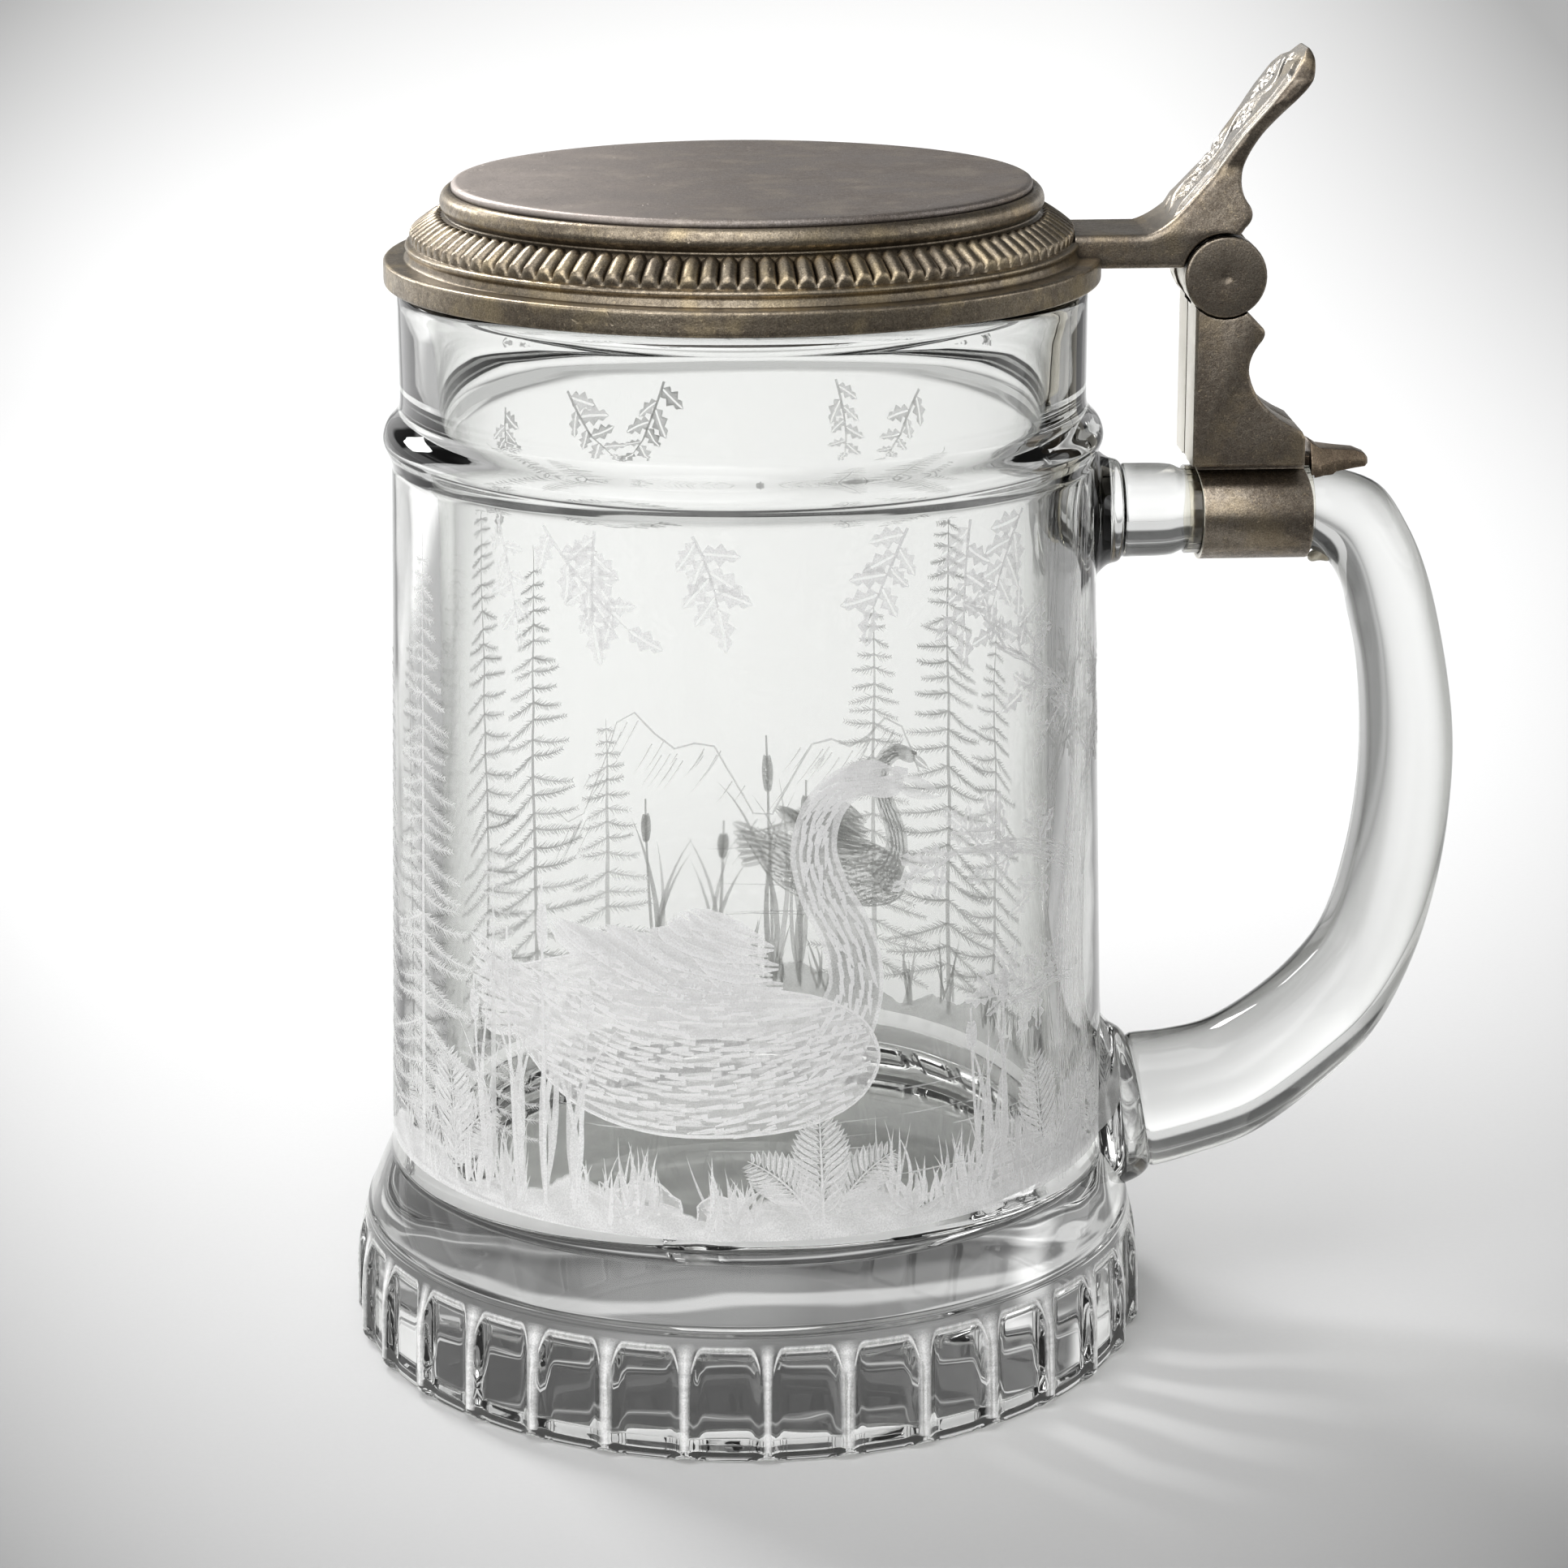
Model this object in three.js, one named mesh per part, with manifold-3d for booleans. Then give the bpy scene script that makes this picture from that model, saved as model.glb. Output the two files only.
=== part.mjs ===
// Glass beer stein with a hinged pewter-coloured lid.
// Millimetres. +Z is up, the table is z = 0, the body's axis is the Z axis and the handle points
// along +X. The hinge pin lies along Y, over the handle's upper arm.
import * as THREE from "three";
import { mergeVertices } from "three/addons/utils/BufferGeometryUtils.js";
import Module from "manifold-3d";

const wasm = await Module();
wasm.setup();

// Glass body: outer wall. Radii step from the wall's foot, heights go down from the rim.
const RIM_Z = 134.95;
const WALL_FOOT_R = 45.7;
const WALL_FOOT_Z = 25;
const WALL_TAPER = 2.3;
const WALL_TOP_BELOW_RIM = 21.95;
const BEAD_PROUD = 1;
const BEAD_BELOW_RIM = 18.85;
const NECK_STEP = 1.2;
const NECK_HEIGHT = 15.25;
const WALL_TOP_R = WALL_FOOT_R - WALL_TAPER;
const WALL_TOP_Z = RIM_Z - WALL_TOP_BELOW_RIM;
const BEAD_R = WALL_TOP_R + BEAD_PROUD;
const BEAD_Z = RIM_Z - BEAD_BELOW_RIM;
const NECK_R = WALL_TOP_R - NECK_STEP;
const NECK_FOOT_Z = RIM_Z - NECK_HEIGHT;

// Glass body: cavity
const NECK_WALL = 3.3;
const FOOT_WALL = 4.5;
const FLOOR_Z = 21.5;
const FLOOR_FILLET = 3.2;
const MOUTH_R = NECK_R - NECK_WALL;
const CAVITY_FOOT_R = WALL_FOOT_R - FOOT_WALL;

// Glass body: fluted foot and the hollow under it
const FLUTES = 32;
const FLUTE_DEPTH = 0.8;
const FLUTE_FOOT_Z = 1.7;
const FLUTE_TOP_Z = 15;
const FLUTE_ARCH = 2;
const FOOT_SPREAD = 5.4;
const FOOT_WIDEST_Z = 6.2;
const FOOT_SWELL = 5.3;
const FOOT_HEIGHT = 18;
const FOOT_SWELL_POWER = 1.8;
const FOOT_ROUND_POWER = 0.62;
const STANDING_INSET = 5.2;
const STANDING_WIDTH = 2.1;
const PUNT_SLOPE_WIDTH = 6.3;
const PUNT_DEPTH = 0.8;
const FOOT_R = WALL_FOOT_R + FOOT_SPREAD;
const STANDING_OUTER_R = FOOT_R - STANDING_INSET;
const STANDING_INNER_R = STANDING_OUTER_R - STANDING_WIDTH;
const PUNT_R = STANDING_INNER_R - PUNT_SLOPE_WIDTH;

// Glass handle: a straight upper arm and a loop down to the foot
const UPPER_PAD_PROUD = 3.5;
const LOWER_PAD_PROUD = 0.9;
const LOWER_PAD_Z = 18.3;
const ARM_BELOW_RIM = 29.6;
const ARM_HALF_HEIGHT = 5.65;
const HANDLE_WIDTH = 12;
const INNER_FLAT = 3.8;
const FACE_GAP = 0.02;
const UPPER_PAD_X = WALL_TOP_R + UPPER_PAD_PROUD;
const LOWER_PAD_X = FOOT_R + LOWER_PAD_PROUD;
const ARM_Z = RIM_Z - ARM_BELOW_RIM;

// Slimmer seat on the arm, where the hinge is clamped
const SEAT_FROM_PAD = 7.7;
const SEAT_LENGTH = 16.1;
const SEAT_RUN_IN = 2.5;
const SEAT_SLIMMER_Z = 0.55;
const SEAT_SLIMMER_Y = 0.1;
const SEAT_X0 = UPPER_PAD_X + SEAT_FROM_PAD;
const SEAT_X1 = SEAT_X0 + SEAT_LENGTH;
const SEAT_HALF_HEIGHT = ARM_HALF_HEIGHT - SEAT_SLIMMER_Z;
const SEAT_HALF_WIDTH = HANDLE_WIDTH / 2 - SEAT_SLIMMER_Y;

// Clear sleeve round the arm
const LINER_MARGIN_IN = 0.3;
const LINER_MARGIN_OUT = 0.2;
const LINER_GAP = 0.12;
const LINER_WALL = 0.28;
const LINER_X0 = SEAT_X0 + LINER_MARGIN_IN;
const LINER_X1 = SEAT_X1 - LINER_MARGIN_OUT;
const LINER_INNER = [SEAT_HALF_WIDTH + LINER_GAP, SEAT_HALF_HEIGHT + LINER_GAP];
const LINER_OUTER = LINER_INNER.map((half) => half + LINER_WALL);

// Hinge bracket: two mirrored halves clamped round the sleeve, which shows at both ends
const LINER_SHOWS_IN = 1.7;
const LINER_SHOWS_OUT = 0.4;
const BAND_GAP = 0.1;
const BAND_WALL_Y = 0.95;
const BAND_WALL_Z = 0.6;
const BAND_SHOULDER = 2;
const CHEEK_OVERHANG = 1.7;
const CHEEK_INSET = 1.3;
const CHEEK_ABOVE_BAND = 0.55;
const CHEEK_SIDE_INSET = 0.05;
const CHEEK_BEVEL = 0.35;
const SLIT = 0.7;
const WEB_HALF_WIDTH = 3.2;
const BAND_X0 = LINER_X0 + LINER_SHOWS_IN;
const BAND_X1 = LINER_X1 - LINER_SHOWS_OUT;
const BAND_INNER = LINER_OUTER.map((half) => half + BAND_GAP);
const BAND_OUTER = [BAND_INNER[0] + BAND_WALL_Y, BAND_INNER[1] + BAND_WALL_Z];
const CHEEK_X0 = BAND_X0 - CHEEK_OVERHANG;
const CHEEK_X1 = BAND_X1 - CHEEK_INSET;
const CHEEK_Z0 = ARM_Z + BAND_OUTER[1] + CHEEK_ABOVE_BAND;
const BRACKET_HALF_WIDTH = BAND_OUTER[0] - CHEEK_SIDE_INSET;

// Lid shell: it lies on the mouth's rim, and its lip hangs in the mouth
const LID_GAP = 0.2;
const LID_OVERHANG = 1.55;
const LID_RIM_HEIGHT = 3.05;
const LID_LIP_PLAY = 0.6;
const LID_LIP_DEPTH = 2.25;
const LID_WALL = 1.7;
const LID_CROWN_HEIGHT = 8;
const LID_STEP = 2.55;
const GADROONS = 112;
const GADROON_RELIEF = 0.6;
const GADROON_SLOPE = 0.894;
const LID_SEAT_Z = RIM_Z + LID_GAP;
const LID_RIM_TOP_Z = LID_SEAT_Z + LID_RIM_HEIGHT;
const LID_RIM_R = NECK_R + LID_OVERHANG;
const LID_LIP_R = MOUTH_R - LID_LIP_PLAY;
const LID_STEP_R = LID_RIM_R - LID_STEP;
const SHELL_TOP_Z = LID_RIM_TOP_Z + LID_CROWN_HEIGHT;

// Disc on top of the lid
const DISC_INSET = 8.45;
const DISC_THICKNESS = 1.15;
const DISC_EDGE = 0.35;
const DISC_R = LID_RIM_R - DISC_INSET;

// Hinge
const HINGE_FROM_CHEEK_EDGE = 3.6;
const HINGE_ABOVE_SEAT = 0.35;
const EAR_R = 5.05;
const NOSE_ANGLE = -57.033;
const KNUCKLE_HALF_WIDTH = 2.6;
const KNUCKLE_SIDE_GAP = 0.15;
const KNUCKLE_ROUND_GAP = 0.3;
const PIN_R = 1.6;
const PIN_RUNNING_GAP = 0.06;
const PIN_CHAMFER = 0.25;
const CAP_THICKNESS = 1.2;
const CAP_GAP = 0.12;
const CAP_CHAMFER = 0.25;
const PUNCH_R = 0.7;
const PUNCH_DEPTH = 0.45;
const HINGE_X = CHEEK_X0 + HINGE_FROM_CHEEK_EDGE;
const HINGE_Z = LID_SEAT_Z + HINGE_ABOVE_SEAT;
const CAP_SEAT_Y = BRACKET_HALF_WIDTH - CAP_THICKNESS;

// Dowel between the two cheeks
const DOWEL_FROM_HINGE_X = 0.9;
const DOWEL_BELOW_HINGE = 16.3;
const DOWEL_R = 1.3;
const DOWEL_HALF_LENGTH = 3.2;
const DOWEL_GAP = 0.06;
const DOWEL_X = HINGE_X + DOWEL_FROM_HINGE_X;
const DOWEL_Z = HINGE_Z - DOWEL_BELOW_HINGE;

// Spur: a strip under the cheeks that ends in a small horn on top of the handle
const SPUR_STRIP_HALF_WIDTH = 1.7;
const SPUR_STRIP_HEIGHT = 1.15;
const SPUR_FROM_BAND = 0.2;
const SPUR_GAP = 0.15;
const SPUR_ARM_GAP = 0.25;
const SPUR_ROOT_X = BAND_X1 + SPUR_FROM_BAND;

// Thumb lift: arm, knuckle and lever in one casting
const ARM_WIDTH = 2 * BRACKET_HALF_WIDTH;
const ARM_ROOT_INSET = 3.75;
const ARM_ABOVE_SEAT = 1.5;
const ARM_THICKNESS = 4.1;
const ARM_GRIP = 2.5;
const SOLDER_GAP = 0.15;
const SOLDER_FOOT_LENGTH = 1.95;
const SOLDER_FOOT_PROUD = 0.25;
const HEEL_HALF_WIDTH = 4.2;
const ARM_ROOT_X = LID_RIM_R - ARM_ROOT_INSET;
const ARM_BOTTOM_Z = LID_SEAT_Z + ARM_ABOVE_SEAT;
const ARM_TOP_Z = ARM_BOTTOM_Z + ARM_THICKNESS;
const ARM_INNER_R = LID_RIM_R - ARM_GRIP;

// Rounds
const GLASS_SIDES = 2 * FLUTES;
const LID_SIDES = GADROONS / 2;
const BAND_SIDES = 28;
const CAP_SIDES = 40;
const PIN_SIDES = 20;
const PAD_SIDES = 32;
const HANDLE_SIDES = 24;

// How far a cutting tool reaches past what it cuts
const CUT = 2;

// A closed ring of points about the Z axis. The radius and height may depend on the angle.
function ring(count, radius, height) {
  const points = [];
  for (let i = 0; i < count; i += 1) {
    const angle = (2 * Math.PI * i) / count;
    const r = typeof radius === "function" ? radius(angle) : radius;
    const z = typeof height === "function" ? height(angle) : height;
    points.push(new THREE.Vector3(r * Math.cos(angle), r * Math.sin(angle), z));
  }
  return points;
}

const tip = (x, y, z) => [new THREE.Vector3(x, y, z)];

// Skin over a row of rings, from a tip at one end to a tip at the other. A ring may have a
// whole multiple of its neighbour's points.
function skin(rings) {
  const points = rings.flat();
  const starts = [0];
  for (const loop of rings) starts.push(starts.at(-1) + loop.length);
  const faces = [];
  for (let k = 0; k + 1 < rings.length; k += 1) {
    const na = rings[k].length;
    const nb = rings[k + 1].length;
    const a = (i) => starts[k] + (i % na);
    const b = (i) => starts[k + 1] + (i % nb);
    if (na === 1) {
      for (let i = 0; i < nb; i += 1) faces.push(a(0), b(i + 1), b(i));
      continue;
    }
    if (nb === 1) {
      for (let i = 0; i < na; i += 1) faces.push(a(i), a(i + 1), b(0));
      continue;
    }
    const few = Math.min(na, nb);
    const times = Math.max(na, nb) / few;
    const half = Math.floor(times / 2);
    for (let i = 0; i < few; i += 1) {
      for (let j = 0; j < times; j += 1) {
        const near = j < half ? i : i + 1;
        const from = i * times + j;
        if (na <= nb) faces.push(a(near), b(from + 1), b(from));
        else faces.push(a(from), a(from + 1), b(near));
      }
      if (na <= nb) faces.push(a(i), a(i + 1), b(i * times + half));
      else faces.push(a(i * times + half), b(i + 1), b(i));
    }
  }
  const geometry = new THREE.BufferGeometry();
  geometry.setAttribute(
    "position",
    new THREE.Float32BufferAttribute(points.flatMap((p) => [p.x, p.y, p.z]), 3),
  );
  geometry.setIndex(faces);
  return geometry;
}

// A solid for cutting and joining
function solid(geometry) {
  const plain = geometry.clone();
  plain.deleteAttribute("normal");
  plain.deleteAttribute("uv");
  const merged = mergeVertices(plain, 1e-4);
  return new wasm.Manifold(
    new wasm.Mesh({
      numProp: 3,
      vertProperties: merged.attributes.position.array,
      triVerts: new Uint32Array(merged.index.array),
    }),
  );
}

function geometryOf(manifold) {
  const mesh = manifold.getMesh();
  const positions = new Float32Array(mesh.numVert * 3);
  for (let i = 0; i < mesh.numVert; i += 1) {
    const start = i * mesh.numProp;
    positions.set(mesh.vertProperties.subarray(start, start + 3), i * 3);
  }
  const geometry = new THREE.BufferGeometry();
  geometry.setAttribute("position", new THREE.BufferAttribute(positions, 3));
  geometry.setIndex(new THREE.BufferAttribute(mesh.triVerts, 1));
  return geometry;
}

function box(x0, x1, y0, y1, z0, z1) {
  const geometry = new THREE.BoxGeometry(x1 - x0, y1 - y0, z1 - z0);
  geometry.translate((x0 + x1) / 2, (y0 + y1) / 2, (z0 + z1) / 2);
  return solid(geometry);
}

// A turned piece about a line along Y: the profile is a row of [radius, y]
function turnedAlongY(profile, x, z, sides) {
  const points = profile.map(([r, y]) => new THREE.Vector2(r, y));
  const geometry = new THREE.LatheGeometry(points, sides);
  geometry.translate(x, 0, z);
  return solid(geometry);
}

function roundBarAlongY(radius, y0, y1, x, z, sides) {
  return turnedAlongY([[0, y0], [radius, y0], [radius, y1], [0, y1]], x, z, sides);
}

// A round bar about the hinge's axis
function hingeBar(radius, y0, y1, sides = BAND_SIDES) {
  return roundBarAlongY(radius, y0, y1, HINGE_X, HINGE_Z, sides);
}

// A side outline in X and Z, given a thickness in Y from -half to half
function slabFromSide(shape, half, bevel = 0) {
  const geometry = new THREE.ExtrudeGeometry(shape, {
    depth: 2 * (half - bevel),
    bevelEnabled: bevel > 0,
    bevelThickness: bevel,
    bevelSize: bevel,
    bevelOffset: -bevel,
    bevelSegments: 1,
    curveSegments: 8,
  });
  geometry.rotateX(Math.PI / 2);
  geometry.translate(0, half - bevel, 0);
  return solid(geometry);
}

// Radius of the foot's smooth outline, before the flutes are pressed into it
function footRadius(z) {
  if (z >= FOOT_WIDEST_Z) {
    const up = (z - FOOT_WIDEST_Z) / FOOT_HEIGHT;
    return FOOT_R - FOOT_SWELL * up ** FOOT_SWELL_POWER;
  }
  const rise = Math.sin((Math.PI / 2) * (z / FOOT_WIDEST_Z) ** FOOT_ROUND_POWER);
  return STANDING_OUTER_R + STANDING_INSET * rise;
}

// One ring of the fluted part: each flute is hollow in its middle and arched at its top
function flutedRing(z, depth, arch) {
  const hollow = (angle) => {
    const across = ((angle * FLUTES) / (2 * Math.PI) + 0.5) % 1;
    return 1 - (2 * across - 1) ** 2;
  };
  const height = (angle) => z + arch * hollow(angle);
  const radius = (angle) => footRadius(height(angle)) - depth * hollow(angle);
  return ring(4 * FLUTES, radius, height);
}

// The body as one skin: under the foot, up the outside, over the rim and down the inside
function glassShell() {
  const g = (r, z) => ring(GLASS_SIDES, r, z);
  const onFoot = (z) => g(footRadius(z), z);
  const aboveFlutes = (share) =>
    onFoot(THREE.MathUtils.lerp(FLUTE_TOP_Z + FLUTE_ARCH, WALL_FOOT_Z, share));
  return skin([
    tip(0, 0, PUNT_DEPTH),
    g(PUNT_R, PUNT_DEPTH),
    g(THREE.MathUtils.lerp(PUNT_R, STANDING_INNER_R, 2 / 3), 0.6 * PUNT_DEPTH),
    g(STANDING_INNER_R, 0),
    g(STANDING_OUTER_R, 0),
    onFoot(0.3 * FLUTE_FOOT_Z),
    flutedRing(FLUTE_FOOT_Z, 0, 0),
    flutedRing(FLUTE_FOOT_Z + 1.2, 0.75 * FLUTE_DEPTH, 0),
    flutedRing(FOOT_WIDEST_Z, FLUTE_DEPTH, 0),
    flutedRing(FLUTE_TOP_Z - 3, FLUTE_DEPTH, 0.6 * FLUTE_ARCH),
    flutedRing(FLUTE_TOP_Z - 1, 0.75 * FLUTE_DEPTH, 0.95 * FLUTE_ARCH),
    flutedRing(FLUTE_TOP_Z, 0, FLUTE_ARCH),
    aboveFlutes(0.33),
    aboveFlutes(0.67),
    g(WALL_FOOT_R, WALL_FOOT_Z - 0.4),
    g(WALL_FOOT_R - 0.1, WALL_FOOT_Z + 1.6),
    g(WALL_TOP_R, WALL_TOP_Z),
    g(BEAD_R - 0.45, BEAD_Z - 1.3),
    g(BEAD_R, BEAD_Z),
    g(BEAD_R - 0.4, BEAD_Z + 1.2),
    g(NECK_R + 0.4, NECK_FOOT_Z - 0.6),
    g(NECK_R, NECK_FOOT_Z + 0.3),
    g(NECK_R, RIM_Z - 1.6),
    g(NECK_R - 0.45, RIM_Z - 0.5),
    g(NECK_R - 1.4, RIM_Z),
    g(MOUTH_R + 0.9, RIM_Z),
    g(MOUTH_R + 0.25, RIM_Z - 0.45),
    g(MOUTH_R, RIM_Z - 1.2),
    g(MOUTH_R + 0.5, NECK_FOOT_Z),
    g(CAVITY_FOOT_R, FLOOR_Z + FLOOR_FILLET + 1),
    g(CAVITY_FOOT_R - 0.25 * FLOOR_FILLET, FLOOR_Z + 0.45 * FLOOR_FILLET),
    g(CAVITY_FOOT_R - FLOOR_FILLET, FLOOR_Z + 0.3),
    tip(0, 0, FLOOR_Z),
  ]);
}

// The handle's stations, from the upper joint to the lower one. Each has its outer and its
// inner point in X and Z, its half width, and how far its inner side is flattened.
const station = (outer, inner, wider, flattened) => ({
  outer: new THREE.Vector3(outer[0], 0, outer[1]),
  inner: new THREE.Vector3(inner[0], 0, inner[1]),
  halfWidth: HANDLE_WIDTH / 2 + wider,
  flattened,
});
const armStation = (x, halfHeight, wider) =>
  station([x, ARM_Z + halfHeight], [x, ARM_Z - halfHeight], wider, 0);
const seatStation = (x) => armStation(x, SEAT_HALF_HEIGHT, -SEAT_SLIMMER_Y);

// Past the seat, offsets from the ends of its top and bottom lines
const upperStation = (outer, inner, wider, flattened) =>
  station(
    [SEAT_X1 + outer[0], ARM_Z + SEAT_HALF_HEIGHT + outer[1]],
    [SEAT_X1 + inner[0], ARM_Z - SEAT_HALF_HEIGHT + inner[1]],
    wider,
    flattened,
  );

// Near the foot, offsets from the lower joint's lowest point
const lowerStation = (outer, inner, wider, flattened) =>
  station(
    [LOWER_PAD_X + outer[0], LOWER_PAD_Z + outer[1]],
    [LOWER_PAD_X + inner[0], LOWER_PAD_Z + inner[1]],
    wider,
    flattened,
  );

const ARM_STATIONS = [
  armStation(UPPER_PAD_X, ARM_HALF_HEIGHT + 0.2, 0.15),
  armStation((UPPER_PAD_X + SEAT_X0) / 2 + SEAT_RUN_IN, ARM_HALF_HEIGHT, 0),
  seatStation(SEAT_X0),
  seatStation(SEAT_X0 + SEAT_RUN_IN),
  seatStation(SEAT_X1 - SEAT_RUN_IN),
  seatStation(SEAT_X1),
];
const LOOP_STATIONS = [
  upperStation([2.5, -0.05], [1.5, -0.8], 0.05, 0),
  upperStation([8.7, -2.25], [2.9, -2.15], 0.15, 0.25),
  upperStation([12.4, -7.35], [4.6, -5.25], 0.25, 0.65),
  upperStation([15, -13.25], [5.7, -9.15], 0.35, 0.95),
  upperStation([17.5, -22.95], [6.9, -14.45], 0.45, 1),
  upperStation([19.1, -32.95], [7.7, -23.25], 0.55, 1),
  lowerStation([38, 51.2], [26.3, 50.7], 0.6, 1),
  lowerStation([36.9, 40.2], [25, 41.3], 0.65, 1),
  lowerStation([34, 28.5], [22.2, 32.1], 0.8, 0.9),
  lowerStation([29, 18.1], [18.2, 27], 1, 0.6),
  lowerStation([22, 10.8], [13, 22.6], 1.3, 0.25),
  lowerStation([13.5, 4.4], [7.2, 19.3], 1.5, 0.05),
  lowerStation([6, 1.6], [1.6, 18.1], 1.6, 0),
  lowerStation([0, 0], [-3, 17.6], 1.6, 0),
];
const HANDLE_STATIONS = [...ARM_STATIONS, ...LOOP_STATIONS];

// A point of the handle's cross section: round, or with a flat and two chamfers on its inner side
function handleSection(angle, thickness, halfWidth, flattened) {
  const out = Math.cos(angle);
  const side = Math.sin(angle);
  const round = [(thickness / 2) * out, halfWidth * side];
  if (out >= 0) return round;
  const toFlat = thickness / 2 / -out;
  const toSide = Math.abs(side) > 0 ? halfWidth / Math.abs(side) : Infinity;
  const toChamfer = (thickness / 2 + INNER_FLAT) / (Math.abs(side) - out);
  const reach = Math.min(toFlat, toSide, toChamfer);
  const faceted = [reach * out, reach * side];
  return round.map((v, i) => THREE.MathUtils.lerp(v, faceted[i], flattened));
}

// The handle, or with an allowance the space to leave round it
function handleGeometry(allowance = 0) {
  const last = HANDLE_STATIONS.length - 1;
  const pathOf = (side) => {
    const points = HANDLE_STATIONS.map((s) => s[side]);
    return new THREE.CatmullRomCurve3(points, false, "centripetal");
  };
  const outer = pathOf("outer");
  const inner = pathOf("inner");
  const ringAt = (along) => {
    const k = Math.min(Math.floor(along), last - 1);
    const mix = (field) =>
      THREE.MathUtils.lerp(HANDLE_STATIONS[k][field], HANDLE_STATIONS[k + 1][field], along - k);
    const o = outer.getPoint(along / last);
    const n = inner.getPoint(along / last);
    const centre = o.clone().add(n).multiplyScalar(0.5);
    const outwards = o.clone().sub(n);
    const thickness = outwards.length() + 2 * allowance;
    outwards.normalize();
    const points = [];
    for (let j = 0; j < HANDLE_SIDES; j += 1) {
      const angle = (-2 * Math.PI * j) / HANDLE_SIDES;
      const halfWidth = mix("halfWidth") + allowance;
      const [u, v] = handleSection(angle, thickness, halfWidth, mix("flattened"));
      points.push(centre.clone().addScaledVector(outwards, u).add(new THREE.Vector3(0, v, 0)));
    }
    return points;
  };
  // The straight arm needs rings at its stations only, the loop one between them too.
  const rings = ARM_STATIONS.map((_, k) => ringAt(k));
  for (let k = ARM_STATIONS.length; k <= last; k += 1) rings.push(ringAt(k - 0.5), ringAt(k));
  const middle = (points) => [
    points.reduce((sum, p) => sum.add(p), new THREE.Vector3()).multiplyScalar(1 / points.length),
  ];
  return skin([middle(rings[0]), ...rings, middle(rings.at(-1))]);
}

// A boss on the glass wall that meets an end of the handle face to face. Its sections run from
// inside the wall to the pad: [centre x, centre z, half height, half width], leaning by tilt.
function padBoss(sections, tilt) {
  const rings = sections.map(([x, z, halfHeight, halfWidth]) => {
    const points = [];
    for (let i = 0; i < PAD_SIDES; i += 1) {
      const angle = (2 * Math.PI * i) / PAD_SIDES;
      const up = halfHeight * Math.sin(angle);
      const across = halfWidth * Math.cos(angle);
      points.push(new THREE.Vector3(x - up * Math.sin(tilt), across, z + up * Math.cos(tilt)));
    }
    return points;
  });
  const first = sections[0];
  const last = sections.at(-1);
  return solid(skin([tip(first[0], 0, first[1]), ...rings, tip(last[0], 0, last[1])]));
}

function glassBody() {
  const top = HANDLE_STATIONS[0];
  const end = HANDLE_STATIONS.at(-1);
  const topHalf = top.outer.distanceTo(top.inner) / 2;
  const endHalf = end.outer.distanceTo(end.inner) / 2;
  const tilt = Math.atan2(end.outer.x - end.inner.x, end.inner.z - end.outer.z);
  const lowX = (end.outer.x + end.inner.x) / 2 - FACE_GAP;
  const lowZ = (end.outer.z + end.inner.z) / 2;
  const upper = padBoss(
    [
      [WALL_TOP_R - 1.8, ARM_Z - 0.1, topHalf + 3.35, top.halfWidth + 2.45],
      [WALL_TOP_R + 0.7, ARM_Z - 0.1, topHalf + 1.55, top.halfWidth + 1.45],
      [UPPER_PAD_X - FACE_GAP, ARM_Z - 0.1, topHalf + 0.45, top.halfWidth + 0.55],
    ],
    0,
  );
  const lower = padBoss(
    [
      [lowX - 7.5, lowZ - 1.2, endHalf + 3.3, end.halfWidth + 2.8],
      [lowX - 2.6, lowZ - 0.3, endHalf + 1.5, end.halfWidth + 1.3],
      [lowX, lowZ, endHalf + 0.4, end.halfWidth + 0.4],
    ],
    tilt,
  );
  return solid(glassShell()).add(upper).add(lower);
}

// An ellipse about the arm's centre line, as a bar along X
function armBar(halfWidth, halfHeight, x0, x1) {
  const loop = (x) => {
    const points = [];
    for (let i = 0; i < BAND_SIDES; i += 1) {
      const angle = (2 * Math.PI * i) / BAND_SIDES;
      const z = ARM_Z + halfHeight * Math.sin(angle);
      points.push(new THREE.Vector3(x, halfWidth * Math.cos(angle), z));
    }
    return points;
  };
  return solid(skin([tip(x0, 0, ARM_Z), loop(x0), loop(x1), tip(x1, 0, ARM_Z)]));
}

function bandLiner() {
  const outside = armBar(...LINER_OUTER, LINER_X0, LINER_X1);
  return outside.subtract(armBar(...LINER_INNER, LINER_X0 - CUT, LINER_X1 + CUT));
}

// Side outline of the cheeks: straight towards the mug, round at the ear, with a nose that stops
// the lid, then a hollow flare down to the band
function cheekShape() {
  const s = new THREE.Shape();
  const dx = HINGE_X - CHEEK_X0;
  const earStart = Math.PI + Math.acos(dx / EAR_R);
  const earEnd = THREE.MathUtils.degToRad(NOSE_ANGLE);
  s.moveTo(CHEEK_X0, CHEEK_Z0);
  s.lineTo(CHEEK_X0, HINGE_Z - Math.sqrt(EAR_R ** 2 - dx ** 2));
  s.absarc(HINGE_X, HINGE_Z, EAR_R, earStart, earEnd, true);
  s.lineTo(HINGE_X + 4.75, HINGE_Z - 6.35);
  s.quadraticCurveTo(HINGE_X + 5.2, HINGE_Z - 7, HINGE_X + 4.6, HINGE_Z - 7.9);
  s.quadraticCurveTo(HINGE_X + 2.85, HINGE_Z - 10, HINGE_X + 3.15, HINGE_Z - 12);
  s.bezierCurveTo(
    HINGE_X + 3.7, HINGE_Z - 14.6,
    HINGE_X + 5.4, HINGE_Z - 17.2,
    CHEEK_X1 - 0.4, CHEEK_Z0 + 4.2,
  );
  s.lineTo(CHEEK_X1, CHEEK_Z0 + 3.4);
  s.lineTo(CHEEK_X1, CHEEK_Z0);
  s.closePath();
  return s;
}

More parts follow.
